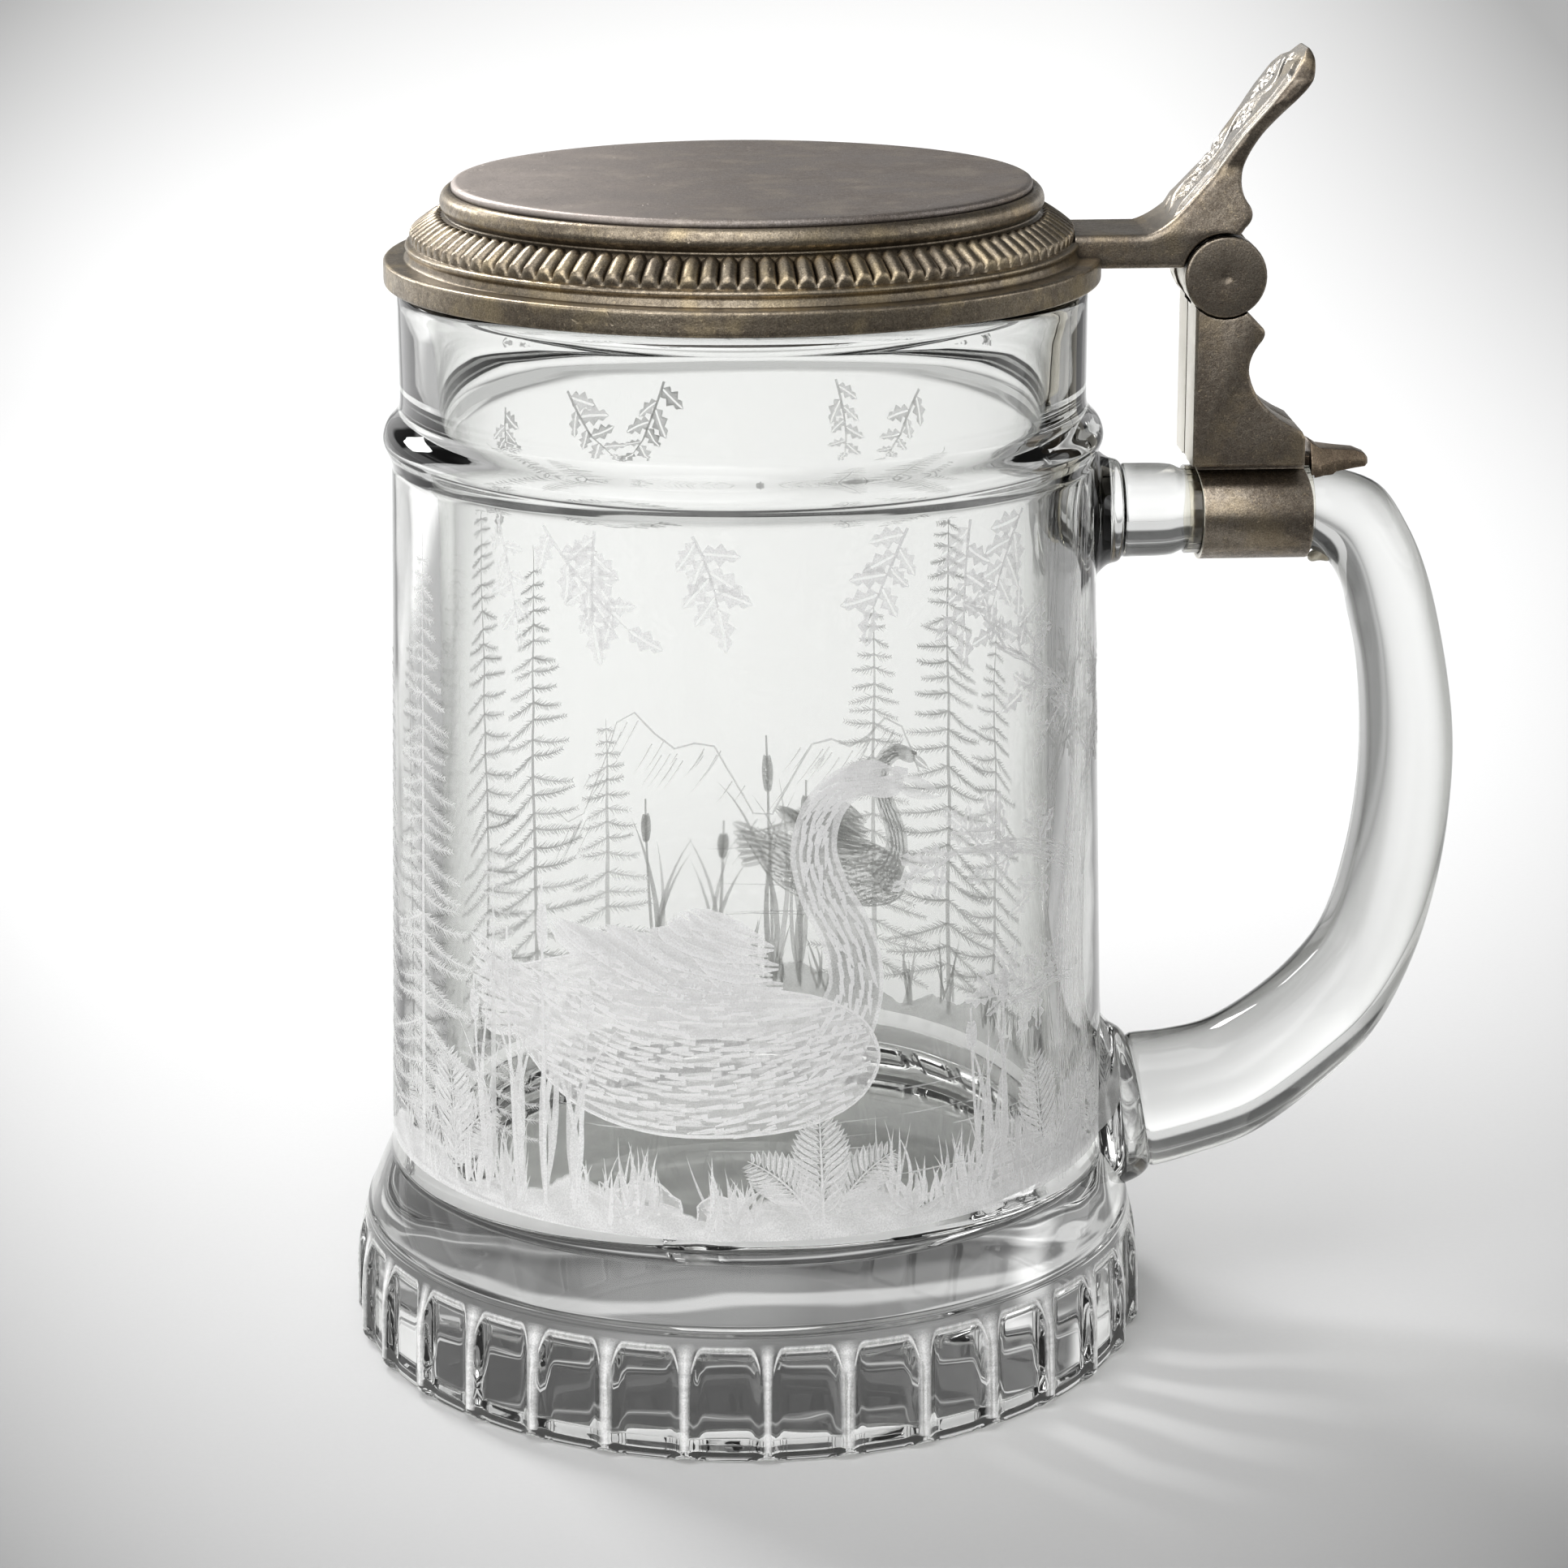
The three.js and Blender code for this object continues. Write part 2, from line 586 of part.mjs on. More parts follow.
// Side outline of the band: its ends curve out from the cheeks' lower corners
function bandShape() {
  const top = CHEEK_Z0 + 0.6;
  const shoulder = ARM_Z + BAND_SHOULDER;
  const bottom = ARM_Z - BAND_OUTER[1] - CUT;
  const s = new THREE.Shape();
  s.moveTo(CHEEK_X0 + CHEEK_BEVEL, top);
  s.quadraticCurveTo(BAND_X0, shoulder + 3, BAND_X0, shoulder);
  s.lineTo(BAND_X0, bottom);
  s.lineTo(BAND_X1, bottom);
  s.lineTo(BAND_X1, shoulder);
  s.quadraticCurveTo(BAND_X1, shoulder + 3, CHEEK_X1 - CHEEK_BEVEL, top);
  s.closePath();
  return s;
}

function bracketHalves() {
  const recess = EAR_R + CAP_GAP;
  const pocket = KNUCKLE_HALF_WIDTH + KNUCKLE_SIDE_GAP;
  const stripTop = ARM_Z + LINER_OUTER[1] + SPUR_GAP + SPUR_STRIP_HEIGHT + SPUR_GAP;
  const stripSide = SPUR_STRIP_HALF_WIDTH + SPUR_GAP;
  const dowelHole = DOWEL_HALF_LENGTH + DOWEL_GAP;
  const far = BRACKET_HALF_WIDTH + CUT;
  const inBand = ARM_Z + SEAT_HALF_HEIGHT - 1.1;
  const x0 = CHEEK_X0 - CUT;
  const x1 = BAND_X1 + CUT;
  const web = box(CHEEK_X0, BAND_X1, -WEB_HALF_WIDTH, WEB_HALF_WIDTH, inBand, CHEEK_Z0 + 0.5);
  const band = armBar(...BAND_OUTER, CHEEK_X0, BAND_X1)
    .add(web)
    .intersect(slabFromSide(bandShape(), far));
  const whole = slabFromSide(cheekShape(), BRACKET_HALF_WIDTH, CHEEK_BEVEL)
    .add(band)
    .subtract(armBar(...BAND_INNER, x0, x1))
    .subtract(box(x0, x1, -stripSide, stripSide, inBand, stripTop))
    .subtract(box(x0, x1, -SLIT / 2, SLIT / 2, inBand, HINGE_Z + EAR_R + CUT))
    .subtract(hingeBar(EAR_R + KNUCKLE_ROUND_GAP, -pocket, pocket))
    .subtract(hingeBar(recess, CAP_SEAT_Y, far))
    .subtract(hingeBar(recess, -far, -CAP_SEAT_Y))
    .subtract(hingeBar(PIN_R + PIN_RUNNING_GAP, -far, far, PIN_SIDES))
    .subtract(
      roundBarAlongY(DOWEL_R + DOWEL_GAP, -dowelHole, dowelHole, DOWEL_X, DOWEL_Z, PIN_SIDES),
    );
  const z0 = ARM_Z - BAND_OUTER[1] - CUT;
  const z1 = HINGE_Z + EAR_R + CUT;
  return [whole.intersect(box(x0, x1, -far, 0, z0, z1)), whole.intersect(box(x0, x1, 0, far, z0, z1))];
}

// A disc that closes an ear and hides the pin's end, with or without a punch mark in its middle
function hingeCap(side, punched) {
  const seat = CAP_SEAT_Y + FACE_GAP;
  const face = BRACKET_HALF_WIDTH;
  const profile = [[0, seat], [EAR_R, seat], [EAR_R, face - CAP_CHAMFER], [EAR_R - CAP_CHAMFER, face]];
  if (punched) profile.push([PUNCH_R, face], [0, face - PUNCH_DEPTH]);
  else profile.push([0, face]);
  const placed = side > 0 ? profile : profile.map(([r, y]) => [r, -y]).reverse();
  return turnedAlongY(placed, HINGE_X, HINGE_Z, CAP_SIDES);
}

function hingePin() {
  const end = CAP_SEAT_Y - FACE_GAP;
  const profile = [
    [0, -end],
    [PIN_R - PIN_CHAMFER, -end],
    [PIN_R, -end + PIN_CHAMFER],
    [PIN_R, end - PIN_CHAMFER],
    [PIN_R - PIN_CHAMFER, end],
    [0, end],
  ];
  return turnedAlongY(profile, HINGE_X, HINGE_Z, PIN_SIDES);
}

function cheekDowel() {
  return roundBarAlongY(
    DOWEL_R, -DOWEL_HALF_LENGTH, DOWEL_HALF_LENGTH, DOWEL_X, DOWEL_Z, PIN_SIDES,
  );
}

function handleSpur() {
  const bottom = ARM_Z + LINER_OUTER[1] + SPUR_GAP;
  const half = SPUR_STRIP_HALF_WIDTH;
  const strip = box(
    BAND_X0 - 0.4, SPUR_ROOT_X + 0.8, -half, half, bottom, bottom + SPUR_STRIP_HEIGHT,
  );
  // Sections of the horn, from its root and above the seat: [along, bottom, top, half width at
  // the bottom, half width at the top]
  const sections = [
    [0, -1.85, 3.55, 3.5, 2.3],
    [1.2, -1.55, 2.8, 3.3, 2.1],
    [3.3, -0.05, 2.55, 2.7, 1.8],
    [5.7, 0.25, 2.35, 2.1, 1.5],
    [7, 0.35, 1.85, 1.7, 1.2],
    [7.4, 0.65, 1.35, 1.2, 0.9],
  ];
  const seatTop = ARM_Z + SEAT_HALF_HEIGHT;
  const rings = sections.map(([along, low, high, wide, narrow]) => {
    const x = SPUR_ROOT_X + along;
    const point = (y, z) => new THREE.Vector3(x, y, seatTop + z);
    const shoulder = THREE.MathUtils.lerp(low, high, 0.55);
    return [
      point(-wide, low),
      point(wide, low),
      point(wide, shoulder),
      point(narrow, high),
      point(-narrow, high),
      point(-wide, shoulder),
    ];
  });
  const end = ([along, low, high]) => tip(SPUR_ROOT_X + along, 0, seatTop + (low + high) / 2);
  const horn = solid(skin([end(sections[0]), ...rings, end(sections.at(-1))]));
  const sleeveSpace = armBar(
    ...LINER_OUTER.map((size) => size + SPUR_GAP), LINER_X0 - CUT, LINER_X1 + SPUR_FROM_BAND,
  );
  const pieces = strip
    .add(horn)
    .subtract(solid(handleGeometry(SPUR_ARM_GAP)))
    .subtract(sleeveSpace)
    .decompose();
  return pieces.reduce((a, b) => (a.volume() > b.volume() ? a : b));
}

// The band of raised beads round the lid: ridges and hollows take turns
function gadroonRing(radius, z, relief) {
  const raised = (angle) => relief * Math.abs(Math.sin((angle * GADROONS) / 2));
  return ring(
    2 * GADROONS,
    (angle) => radius + raised(angle) * Math.cos(GADROON_SLOPE),
    (angle) => z + raised(angle) * Math.sin(GADROON_SLOPE),
  );
}

// The shell as one skin: up the inside, over the lip and the rim, up the gadroons to the top
function lidShell() {
  const g = (r, z) => ring(LID_SIDES, r, z);
  const lipZ = LID_SEAT_Z - LID_LIP_DEPTH;
  const lipInnerR = LID_LIP_R - LID_WALL;
  const ceilingZ = SHELL_TOP_Z - LID_WALL;
  const step = (inwards, up) => g(LID_STEP_R - inwards, LID_RIM_TOP_Z + up);
  const beads = (inwards, up, relief) =>
    gadroonRing(LID_STEP_R - inwards, LID_RIM_TOP_Z + up, relief);
  const crown = (inwards, down) => g(LID_STEP_R - inwards, SHELL_TOP_Z - down);
  return skin([
    tip(0, 0, ceilingZ),
    g(lipInnerR - 4, ceilingZ),
    g(lipInnerR - 2, ceilingZ - 1.2),
    g(lipInnerR - 0.3, LID_RIM_TOP_Z + 0.8),
    g(lipInnerR, lipZ + 0.5),
    g(lipInnerR + 0.3, lipZ),
    g(LID_LIP_R - 0.3, lipZ),
    g(LID_LIP_R, lipZ + 0.4),
    g(LID_LIP_R, LID_SEAT_Z),
    g(LID_RIM_R - 0.4, LID_SEAT_Z),
    g(LID_RIM_R, LID_SEAT_Z + 0.35),
    g(LID_RIM_R, LID_RIM_TOP_Z - 0.4),
    g(LID_RIM_R - 0.4, LID_RIM_TOP_Z),
    step(0, 0),
    step(0.4, 0.9),
    step(0.15, 1.45),
    step(0.45, 1.85),
    beads(0.7, 2.05, 0),
    beads(1.45, 2.6, 0.85 * GADROON_RELIEF),
    beads(2.85, 4.05, GADROON_RELIEF),
    beads(4.7, 5.1, 0),
    crown(5.2, 2.5),
    crown(4.8, 1.85),
    crown(4.85, 1.15),
    crown(5.3, 0.7),
    crown(6.6, 0.5),
    crown(6.9, 0),
    tip(0, 0, SHELL_TOP_Z),
  ]);
}

function lidTopDisc() {
  const g = (r, z) => ring(LID_SIDES, r, z);
  const top = SHELL_TOP_Z + DISC_THICKNESS;
  return skin([
    tip(0, 0, SHELL_TOP_Z),
    g(DISC_R - DISC_EDGE, SHELL_TOP_Z),
    g(DISC_R, SHELL_TOP_Z + DISC_EDGE),
    g(DISC_R, top - DISC_EDGE),
    g(DISC_R - DISC_EDGE, top),
    tip(0, 0, top),
  ]);
}

// Side outline of the thumb lift: the arm over the lid's rim, the lever rising from it and the
// heel behind, which meets the cheeks' nose when the lid is open
function thumbLiftShape() {
  const s = new THREE.Shape();
  s.moveTo(ARM_ROOT_X, ARM_BOTTOM_Z);
  s.lineTo(HINGE_X, ARM_BOTTOM_Z);
  s.lineTo(HINGE_X + 1.5, HINGE_Z + 4.9);
  s.lineTo(HINGE_X + 2.3, HINGE_Z + 5.9);
  s.quadraticCurveTo(HINGE_X + 3.7, HINGE_Z + 7.1, HINGE_X + 2.9, HINGE_Z + 8.5);
  s.quadraticCurveTo(HINGE_X + 1.5, HINGE_Z + 10.2, HINGE_X + 2, HINGE_Z + 12.6);
  s.bezierCurveTo(
    HINGE_X + 2.7, HINGE_Z + 15.5,
    HINGE_X + 4.9, HINGE_Z + 18.4,
    HINGE_X + 8.8, HINGE_Z + 22.2,
  );
  s.quadraticCurveTo(HINGE_X + 10.2, HINGE_Z + 23.6, HINGE_X + 10.4, HINGE_Z + 25.2);
  s.quadraticCurveTo(HINGE_X + 10.6, HINGE_Z + 26.6, HINGE_X + 10, HINGE_Z + 27.2);
  s.lineTo(HINGE_X + 9.2, HINGE_Z + 26.2);
  s.bezierCurveTo(
    HINGE_X + 5.2, HINGE_Z + 21.6,
    HINGE_X + 1.8, HINGE_Z + 17.2,
    HINGE_X - 1.4, HINGE_Z + 12.3,
  );
  s.bezierCurveTo(
    HINGE_X - 4, HINGE_Z + 9.7,
    HINGE_X - 6.4, HINGE_Z + 6.2,
    HINGE_X - 9.8, ARM_TOP_Z,
  );
  s.lineTo(ARM_ROOT_X, ARM_TOP_Z);
  s.closePath();
  return s;
}

// The lever seen from the mug: half widths at heights above the hinge, waisted and then
// spade-shaped
function leverFrontShape() {
  const half = ARM_WIDTH / 2;
  const lever = [
    [6.7, 8],
    [5.45, 13.2],
    [6.2, 17.2],
    [8.1, 21.2],
    [7.9, 23.8],
    [5.3, 26],
    [2, 27.3],
  ].map(([w, up]) => new THREE.Vector2(w, HINGE_Z + up));
  const curve = new THREE.SplineCurve([new THREE.Vector2(half, ARM_TOP_Z + 0.3), ...lever]);
  const edge = [new THREE.Vector2(half, ARM_BOTTOM_Z - 4 * CUT), ...curve.getPoints(14)];
  const s = new THREE.Shape();
  s.setFromPoints([...edge, ...edge.map((p) => new THREE.Vector2(-p.x, p.y)).reverse()]);
  return s;
}

// The same outline as a solid along X, over the whole length of the casting
function leverFromFront() {
  const depth = HINGE_X - ARM_ROOT_X + 20;
  const geometry = new THREE.ExtrudeGeometry(leverFrontShape(), { depth, bevelEnabled: false });
  // The outline's first axis becomes Y and its second Z; the depth runs along X.
  geometry.applyMatrix4(
    new THREE.Matrix4().makeBasis(
      new THREE.Vector3(0, 1, 0),
      new THREE.Vector3(0, 0, 1),
      new THREE.Vector3(1, 0, 0),
    ),
  );
  geometry.translate(ARM_ROOT_X - CUT, 0, 0);
  return solid(geometry);
}

// What is cut from a back corner of the heel, so that only its middle meets the nose
function heelCorner(side) {
  const s = new THREE.Shape();
  const outside = ARM_WIDTH / 2 + 0.7;
  s.moveTo(HINGE_X + 1.4, side * outside);
  s.lineTo(HINGE_X + 1.4, (side * ARM_WIDTH) / 2);
  s.lineTo(HINGE_X + 3.9, side * HEEL_HALF_WIDTH);
  s.lineTo(HINGE_X + 3.9, side * outside);
  s.closePath();
  const geometry = new THREE.ExtrudeGeometry(s, { depth: 7.5, bevelEnabled: false });
  geometry.translate(0, 0, HINGE_Z + 3);
  return solid(geometry);
}

// The lid's rim and what stands inside it, which the arm is notched round
function lidSpace() {
  const g = (r, z) => ring(LID_SIDES, r, z);
  const outside = LID_RIM_R + SOLDER_GAP;
  const rimTop = LID_RIM_TOP_Z + SOLDER_GAP;
  return solid(
    skin([
      tip(0, 0, LID_SEAT_Z - CUT),
      g(outside, LID_SEAT_Z - CUT),
      g(outside, rimTop),
      g(ARM_INNER_R, rimTop),
      g(ARM_INNER_R, SHELL_TOP_Z),
      tip(0, 0, SHELL_TOP_Z),
    ]),
  );
}

function thumbLift() {
  const half = ARM_WIDTH / 2;
  const wide = half + CUT;
  const earSpace = EAR_R + KNUCKLE_ROUND_GAP;
  const foot = box(
    ARM_ROOT_X, LID_RIM_R + SOLDER_FOOT_LENGTH,
    -half - SOLDER_FOOT_PROUD, half + SOLDER_FOOT_PROUD,
    ARM_BOTTOM_Z - SOLDER_FOOT_PROUD, ARM_TOP_Z + 0.4 * SOLDER_FOOT_PROUD,
  );
  return slabFromSide(thumbLiftShape(), wide)
    .intersect(leverFromFront())
    .add(foot)
    .subtract(heelCorner(-1))
    .subtract(heelCorner(1))
    .subtract(hingeBar(earSpace, KNUCKLE_HALF_WIDTH, wide))
    .subtract(hingeBar(earSpace, -wide, -KNUCKLE_HALF_WIDTH))
    .add(hingeBar(EAR_R, -KNUCKLE_HALF_WIDTH, KNUCKLE_HALF_WIDTH))
    .subtract(hingeBar(PIN_R + PIN_RUNNING_GAP, -wide, wide, PIN_SIDES))
    .subtract(lidSpace());
}

const root = new THREE.Group();
root.name = "glass_beer_stein";

function place(name, geometry, look) {
  geometry.computeVertexNormals();
  const mesh = new THREE.Mesh(geometry, new THREE.MeshStandardMaterial(look));
  mesh.name = name;
  root.add(mesh);
}

const GLASS = { color: 0xe8eceb, roughness: 0.03, metalness: 0, transparent: true, opacity: 0.35 };
const SLEEVE = { color: 0xe6e3d8, roughness: 0.2, metalness: 0, transparent: true, opacity: 0.35 };
const DARK_PEWTER = { color: 0x6a5c4b, roughness: 0.45, metalness: 0.9 };
const WARM_PEWTER = { color: 0x8b7a5e, roughness: 0.4, metalness: 0.9 };
const GREY_PEWTER = { color: 0x857c73, roughness: 0.55, metalness: 0.8 };
const COPPER = { color: 0x8c6040, roughness: 0.4, metalness: 0.9 };
const STEEL = { color: 0x8b8579, roughness: 0.35, metalness: 1 };

const [frontHalf, backHalf] = bracketHalves();
place("glass_body", geometryOf(glassBody()), GLASS);
place("glass_handle", handleGeometry(), GLASS);
place("band_liner", geometryOf(bandLiner()), SLEEVE);
place("hinge_bracket_front", geometryOf(frontHalf), DARK_PEWTER);
place("hinge_bracket_back", geometryOf(backHalf), DARK_PEWTER);
place("hinge_cap_front", geometryOf(hingeCap(-1, true)), DARK_PEWTER);
place("hinge_cap_back", geometryOf(hingeCap(1, false)), DARK_PEWTER);
place("hinge_pin", geometryOf(hingePin()), STEEL);
place("cheek_dowel", geometryOf(cheekDowel()), DARK_PEWTER);
place("handle_spur", geometryOf(handleSpur()), COPPER);
place("lid_shell", lidShell(), WARM_PEWTER);
place("lid_top_disc", lidTopDisc(), GREY_PEWTER);
place("thumb_lift", geometryOf(thumbLift()), DARK_PEWTER);

export default root;
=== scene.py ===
"""Looks of a glass beer stein with a hinged pewter lid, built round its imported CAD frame."""
import math
import random

import bmesh
import bpy
import numpy as np
from mathutils import Matrix, Vector


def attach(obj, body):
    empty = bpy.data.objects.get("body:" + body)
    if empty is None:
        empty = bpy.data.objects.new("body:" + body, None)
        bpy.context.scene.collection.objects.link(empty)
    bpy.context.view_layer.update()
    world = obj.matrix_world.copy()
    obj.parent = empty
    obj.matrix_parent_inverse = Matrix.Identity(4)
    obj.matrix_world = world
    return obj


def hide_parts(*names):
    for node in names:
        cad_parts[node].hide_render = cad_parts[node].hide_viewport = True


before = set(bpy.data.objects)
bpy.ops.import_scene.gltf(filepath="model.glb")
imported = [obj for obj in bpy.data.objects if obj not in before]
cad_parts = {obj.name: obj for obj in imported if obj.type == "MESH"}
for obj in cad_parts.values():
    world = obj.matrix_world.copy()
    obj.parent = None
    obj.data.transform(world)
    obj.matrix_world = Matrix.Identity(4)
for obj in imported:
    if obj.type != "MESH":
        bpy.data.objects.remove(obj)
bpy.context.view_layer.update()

MM = 0.001
TAU = 2 * math.pi

# Camera, in metres: fitted to the edges of the stein in the photograph
CAMERA_AT = (-0.0225, -0.5227, 0.2197)
CAMERA_TOWARDS = (0.0503, 0.9604, -0.2741)
CAMERA_ROLL = math.radians(0.19)
CAMERA_LENS = 98.76
SENSOR_WIDTH = 36


# Meshes
def face_outwards(obj):
    bm = bmesh.new()
    bm.from_mesh(obj.data)
    bmesh.ops.recalc_face_normals(bm, faces=bm.faces)
    bm.to_mesh(obj.data)
    bm.free()


def shade_smooth(obj, angle):
    """Smooth shading, with the edges sharper than the angle kept."""
    obj.data.shade_smooth()
    bm = bmesh.new()
    bm.from_mesh(obj.data)
    for edge in bm.edges:
        if len(edge.link_faces) == 2:
            edge.smooth = edge.calc_face_angle(0) < math.radians(angle)
    bm.to_mesh(obj.data)
    bm.free()


def add_object(name, vertices, faces, material):
    """A mesh from points in millimetres."""
    mesh = bpy.data.meshes.new(name)
    mesh.from_pydata([tuple(float(c) * MM for c in v) for v in vertices], [], faces)
    mesh.validate()
    mesh.materials.append(material)
    obj = bpy.data.objects.new(name, mesh)
    bpy.context.scene.collection.objects.link(obj)
    return obj


def settle(obj, body, slot, *nodes):
    """The body that a piece rides on, its material slot, which is not used, and the CAD nodes it stands
    for.
    """
    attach(obj, body)
    if nodes:
        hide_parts(*nodes)


def add_skin(name, points, tones, faces):
    """A frosted skin on the glass, also used for pale skins of painted highlights. Each point has a
    tone: how dense the frosting is there.
    """
    obj = add_object(name, points, faces, FROST_AND_HIGHLIGHTS)
    layer = obj.data.attributes.new("tone", "FLOAT", "POINT")
    layer.data.foreach_set("value", np.clip(tones, 0, 1).astype(np.float32))
    settle(obj, "mug", "clear_glass")
    return obj


def spline(points, steps):
    """A smooth centripetal curve through points, with so many steps between each pair."""
    p = np.asarray(points, float)
    ends = np.vstack([2 * p[0] - p[1], p, 2 * p[-1] - p[-2]])
    out = []
    for k in range(len(p) - 1):
        a, b, c, d = ends[k : k + 4]
        t1 = max(np.linalg.norm(b - a) ** 0.5, 1e-6)
        t2 = t1 + max(np.linalg.norm(c - b) ** 0.5, 1e-6)
        t3 = t2 + max(np.linalg.norm(d - c) ** 0.5, 1e-6)
        for s in range(steps):
            t = t1 + (t2 - t1) * s / steps
            ab = a + (b - a) * t / t1
            bc = b + (c - b) * (t - t1) / (t2 - t1)
            cd = c + (d - c) * (t - t2) / (t3 - t2)
            abc = ab + (bc - ab) * t / t2
            bcd = bc + (cd - bc) * (t - t1) / (t3 - t1)
            out.append(abc + (bcd - abc) * (t - t1) / (t2 - t1))
    return np.array(out + [p[-1]])


def bezier(points, steps):
    """Points on a Bezier curve of any degree, its first point left out."""
    out = []
    for k in range(1, steps + 1):
        row = [np.array(p, float) for p in points]
        while len(row) > 1:
            row = [a + (b - a) * k / steps for a, b in zip(row, row[1:])]
        out.append(row[0])
    return out


def grid(rows, width, start=0):
    """Faces over rows of points, all rows as long as the width."""
    corners = [start + k * width + i for k in range(rows - 1) for i in range(width - 1)]
    return [(a, a + 1, a + width + 1, a + width) for a in corners]


def loft(rings):
    """Points and faces over rings of equal length, with a fan at each end."""
    count = len(rings[0])
    vertices = [p for ring in rings for p in ring]
    faces = []
    for k in range(len(rings) - 1):
        for i in range(count):
            j = (i + 1) % count
            faces.append((k * count + i, k * count + j, (k + 1) * count + j, (k + 1) * count + i))
    for k, turn in ((0, True), (len(rings) - 1, False)):
        middle = len(vertices)
        vertices.append(tuple(np.mean(np.array(rings[k]), axis=0)))
        for i in range(count):
            a, b = k * count + i, k * count + (i + 1) % count
            faces.append((middle, b, a) if turn else (middle, a, b))
    return vertices, faces


def turned(profile, sides):
    """Rings about the Z axis from a row of (radius, height) or functions of the angle."""
    angles = np.arange(sides) * TAU / sides
    rings = []
    for entry in profile:
        r, z = entry(angles) if callable(entry) else entry
        r = np.broadcast_to(r, angles.shape)
        z = np.broadcast_to(z, angles.shape)
        rings.append(np.column_stack([r * np.cos(angles), r * np.sin(angles), z]))
    return rings


# Node trees
class Wire:
    """A value that runs between nodes. Arithmetic on it adds math nodes."""

    def __init__(self, tree, socket):
        self.tree = tree
        self.socket = socket

    def __add__(self, other):
        return self.tree.math("ADD", self, other)

    def __sub__(self, other):
        return self.tree.math("SUBTRACT", self, other)

    def __rsub__(self, other):
        return self.tree.math("SUBTRACT", other, self)

    def __mul__(self, other):
        return self.tree.math("MULTIPLY", self, other)

    def __truediv__(self, other):
        return self.tree.math("DIVIDE", self, other)

    def __rtruediv__(self, other):
        return self.tree.math("DIVIDE", other, self)

    __radd__ = __add__
    __rmul__ = __mul__


class Tree:
    """Nodes of a material or of the world, with short calls to add and link them."""

    def __init__(self, owner, kind="OutputMaterial"):
        owner.use_nodes = True
        self.owner = owner
        self.nodes = owner.node_tree.nodes
        self.links = owner.node_tree.links
        self.nodes.clear()
        self.end = self.nodes.new("ShaderNode" + kind).inputs["Surface"]

    def put(self, socket, value):
        if isinstance(value, Wire):
            self.links.new(value.socket, socket)
        elif isinstance(value, tuple) and socket.type == "RGBA":
            socket.default_value = (*value, 1)
        else:
            socket.default_value = value

    def node(self, kind, inputs=None, **settings):
        node = self.nodes.new("ShaderNode" + kind)
        for key, value in settings.items():
            setattr(node, key, value)
        for key, value in (inputs or {}).items():
            self.put(node.inputs[key], value)
        return node

    def add(self, kind, inputs=None, out=0, **settings):
        return Wire(self, self.node(kind, inputs, **settings).outputs[out])

    def math(self, operation, *values):
        return self.add("Math", dict(enumerate(values)), operation=operation)

    def max(self, a, b):
        return self.math("MAXIMUM", a, b)

    def dot(self, a, b):
        return self.add("VectorMath", {0: a, 1: b}, "Value", operation="DOT_PRODUCT")

    def split(self, vector):
        return [Wire(self, socket) for socket in self.node("SeparateXYZ", {0: vector}).outputs]

    def place(self, kind="Object"):
        """The point's own coordinates, or its normal, in the object's frame."""
        return self.add("TexCoord", out=kind)

    def noise(self, scale, detail=4, roughness=0.55, stretch=None):
        place = self.place()
        if stretch:
            place = self.add("Mapping", {"Vector": place, "Scale": stretch})
        inputs = {"Vector": place, "Scale": scale, "Detail": detail, "Roughness": roughness}
        return self.add("TexNoise", inputs, "Fac")

    def span(self, value, low, high, to_low=0.0, to_high=1.0):
        """A soft step: to_low at low, to_high at high."""
        inputs = dict(enumerate((value, low, high, to_low, to_high)))
        return self.add("MapRange", inputs, interpolation_type="SMOOTHSTEP")

    def blend(self, factor, a, b, kind="MIX"):
        inputs = {0: factor, 6: a, 7: b}
        return self.add("Mix", inputs, 2, data_type="RGBA", blend_type=kind, clamp_factor=True)

    def bump(self, height, strength, distance, normal=None):
        inputs = {"Height": height, "Strength": strength, "Distance": distance}
        if normal:
            inputs["Normal"] = normal
        return self.add("Bump", inputs)

    def facing(self, blend):
        """0 where the surface faces the eye and 1 where it is seen edge on."""
        return self.add("LayerWeight", {"Blend": blend}, "Facing")

    def edges(self, radius):
        """1 on edges, where a rounded normal leaves the true one, and 0 on flat faces."""
        soft = self.add("Bevel", {"Radius": radius}, samples=6)
        return self.span(self.dot(soft, self.add("NewGeometry", out="Normal")), 0.99, 0.8)

    def clear_to_lamps(self, shader, tint):
        """Lamps reach through the shader: their shadow rays see a clear tint."""
        clear = self.add("BsdfTransparent", {"Color": tint})
        shadow = self.add("LightPath", out="Is Shadow Ray")
        return self.add("MixShader", {0: shadow, 1: shader, 2: clear})

    def finish(self, shader):
        self.put(self.end, shader)
        return self.owner


def principled(name, build):
    """A material whose shader's inputs are what build returns for its new tree."""
    t = Tree(bpy.data.materials.new(name))
    return t.finish(t.add("BsdfPrincipled", build(t)))


# Glass colours, each for glass seen face on and edge on: the darkening edge on is painted shade
WALL_TINT_AND_EDGE_SHADE = (0.9, 0.905, 0.895), (0.5, 0.515, 0.48)
HANDLE_TINT_AND_EDGE_SHADE = (0.86, 0.865, 0.855), (0.24, 0.243, 0.225)
LAMP_TINTS = (0.68, 0.68, 0.675), (0.12, 0.12, 0.117)
GLASS_IOR = 1.5
HANDLE_FROM = 0.046, 0.049  # metres along X where the wall's tint and shade give way to the handle's
HANDLE_EYE = 0.045, 0.070  # middle of the handle's opening, (x, z) in metres
HANDLE_OUTER_SHADE_REACH = 0.0422, 0.045  # reach from the eye, in metres, over which painted shade darkens the outer edge
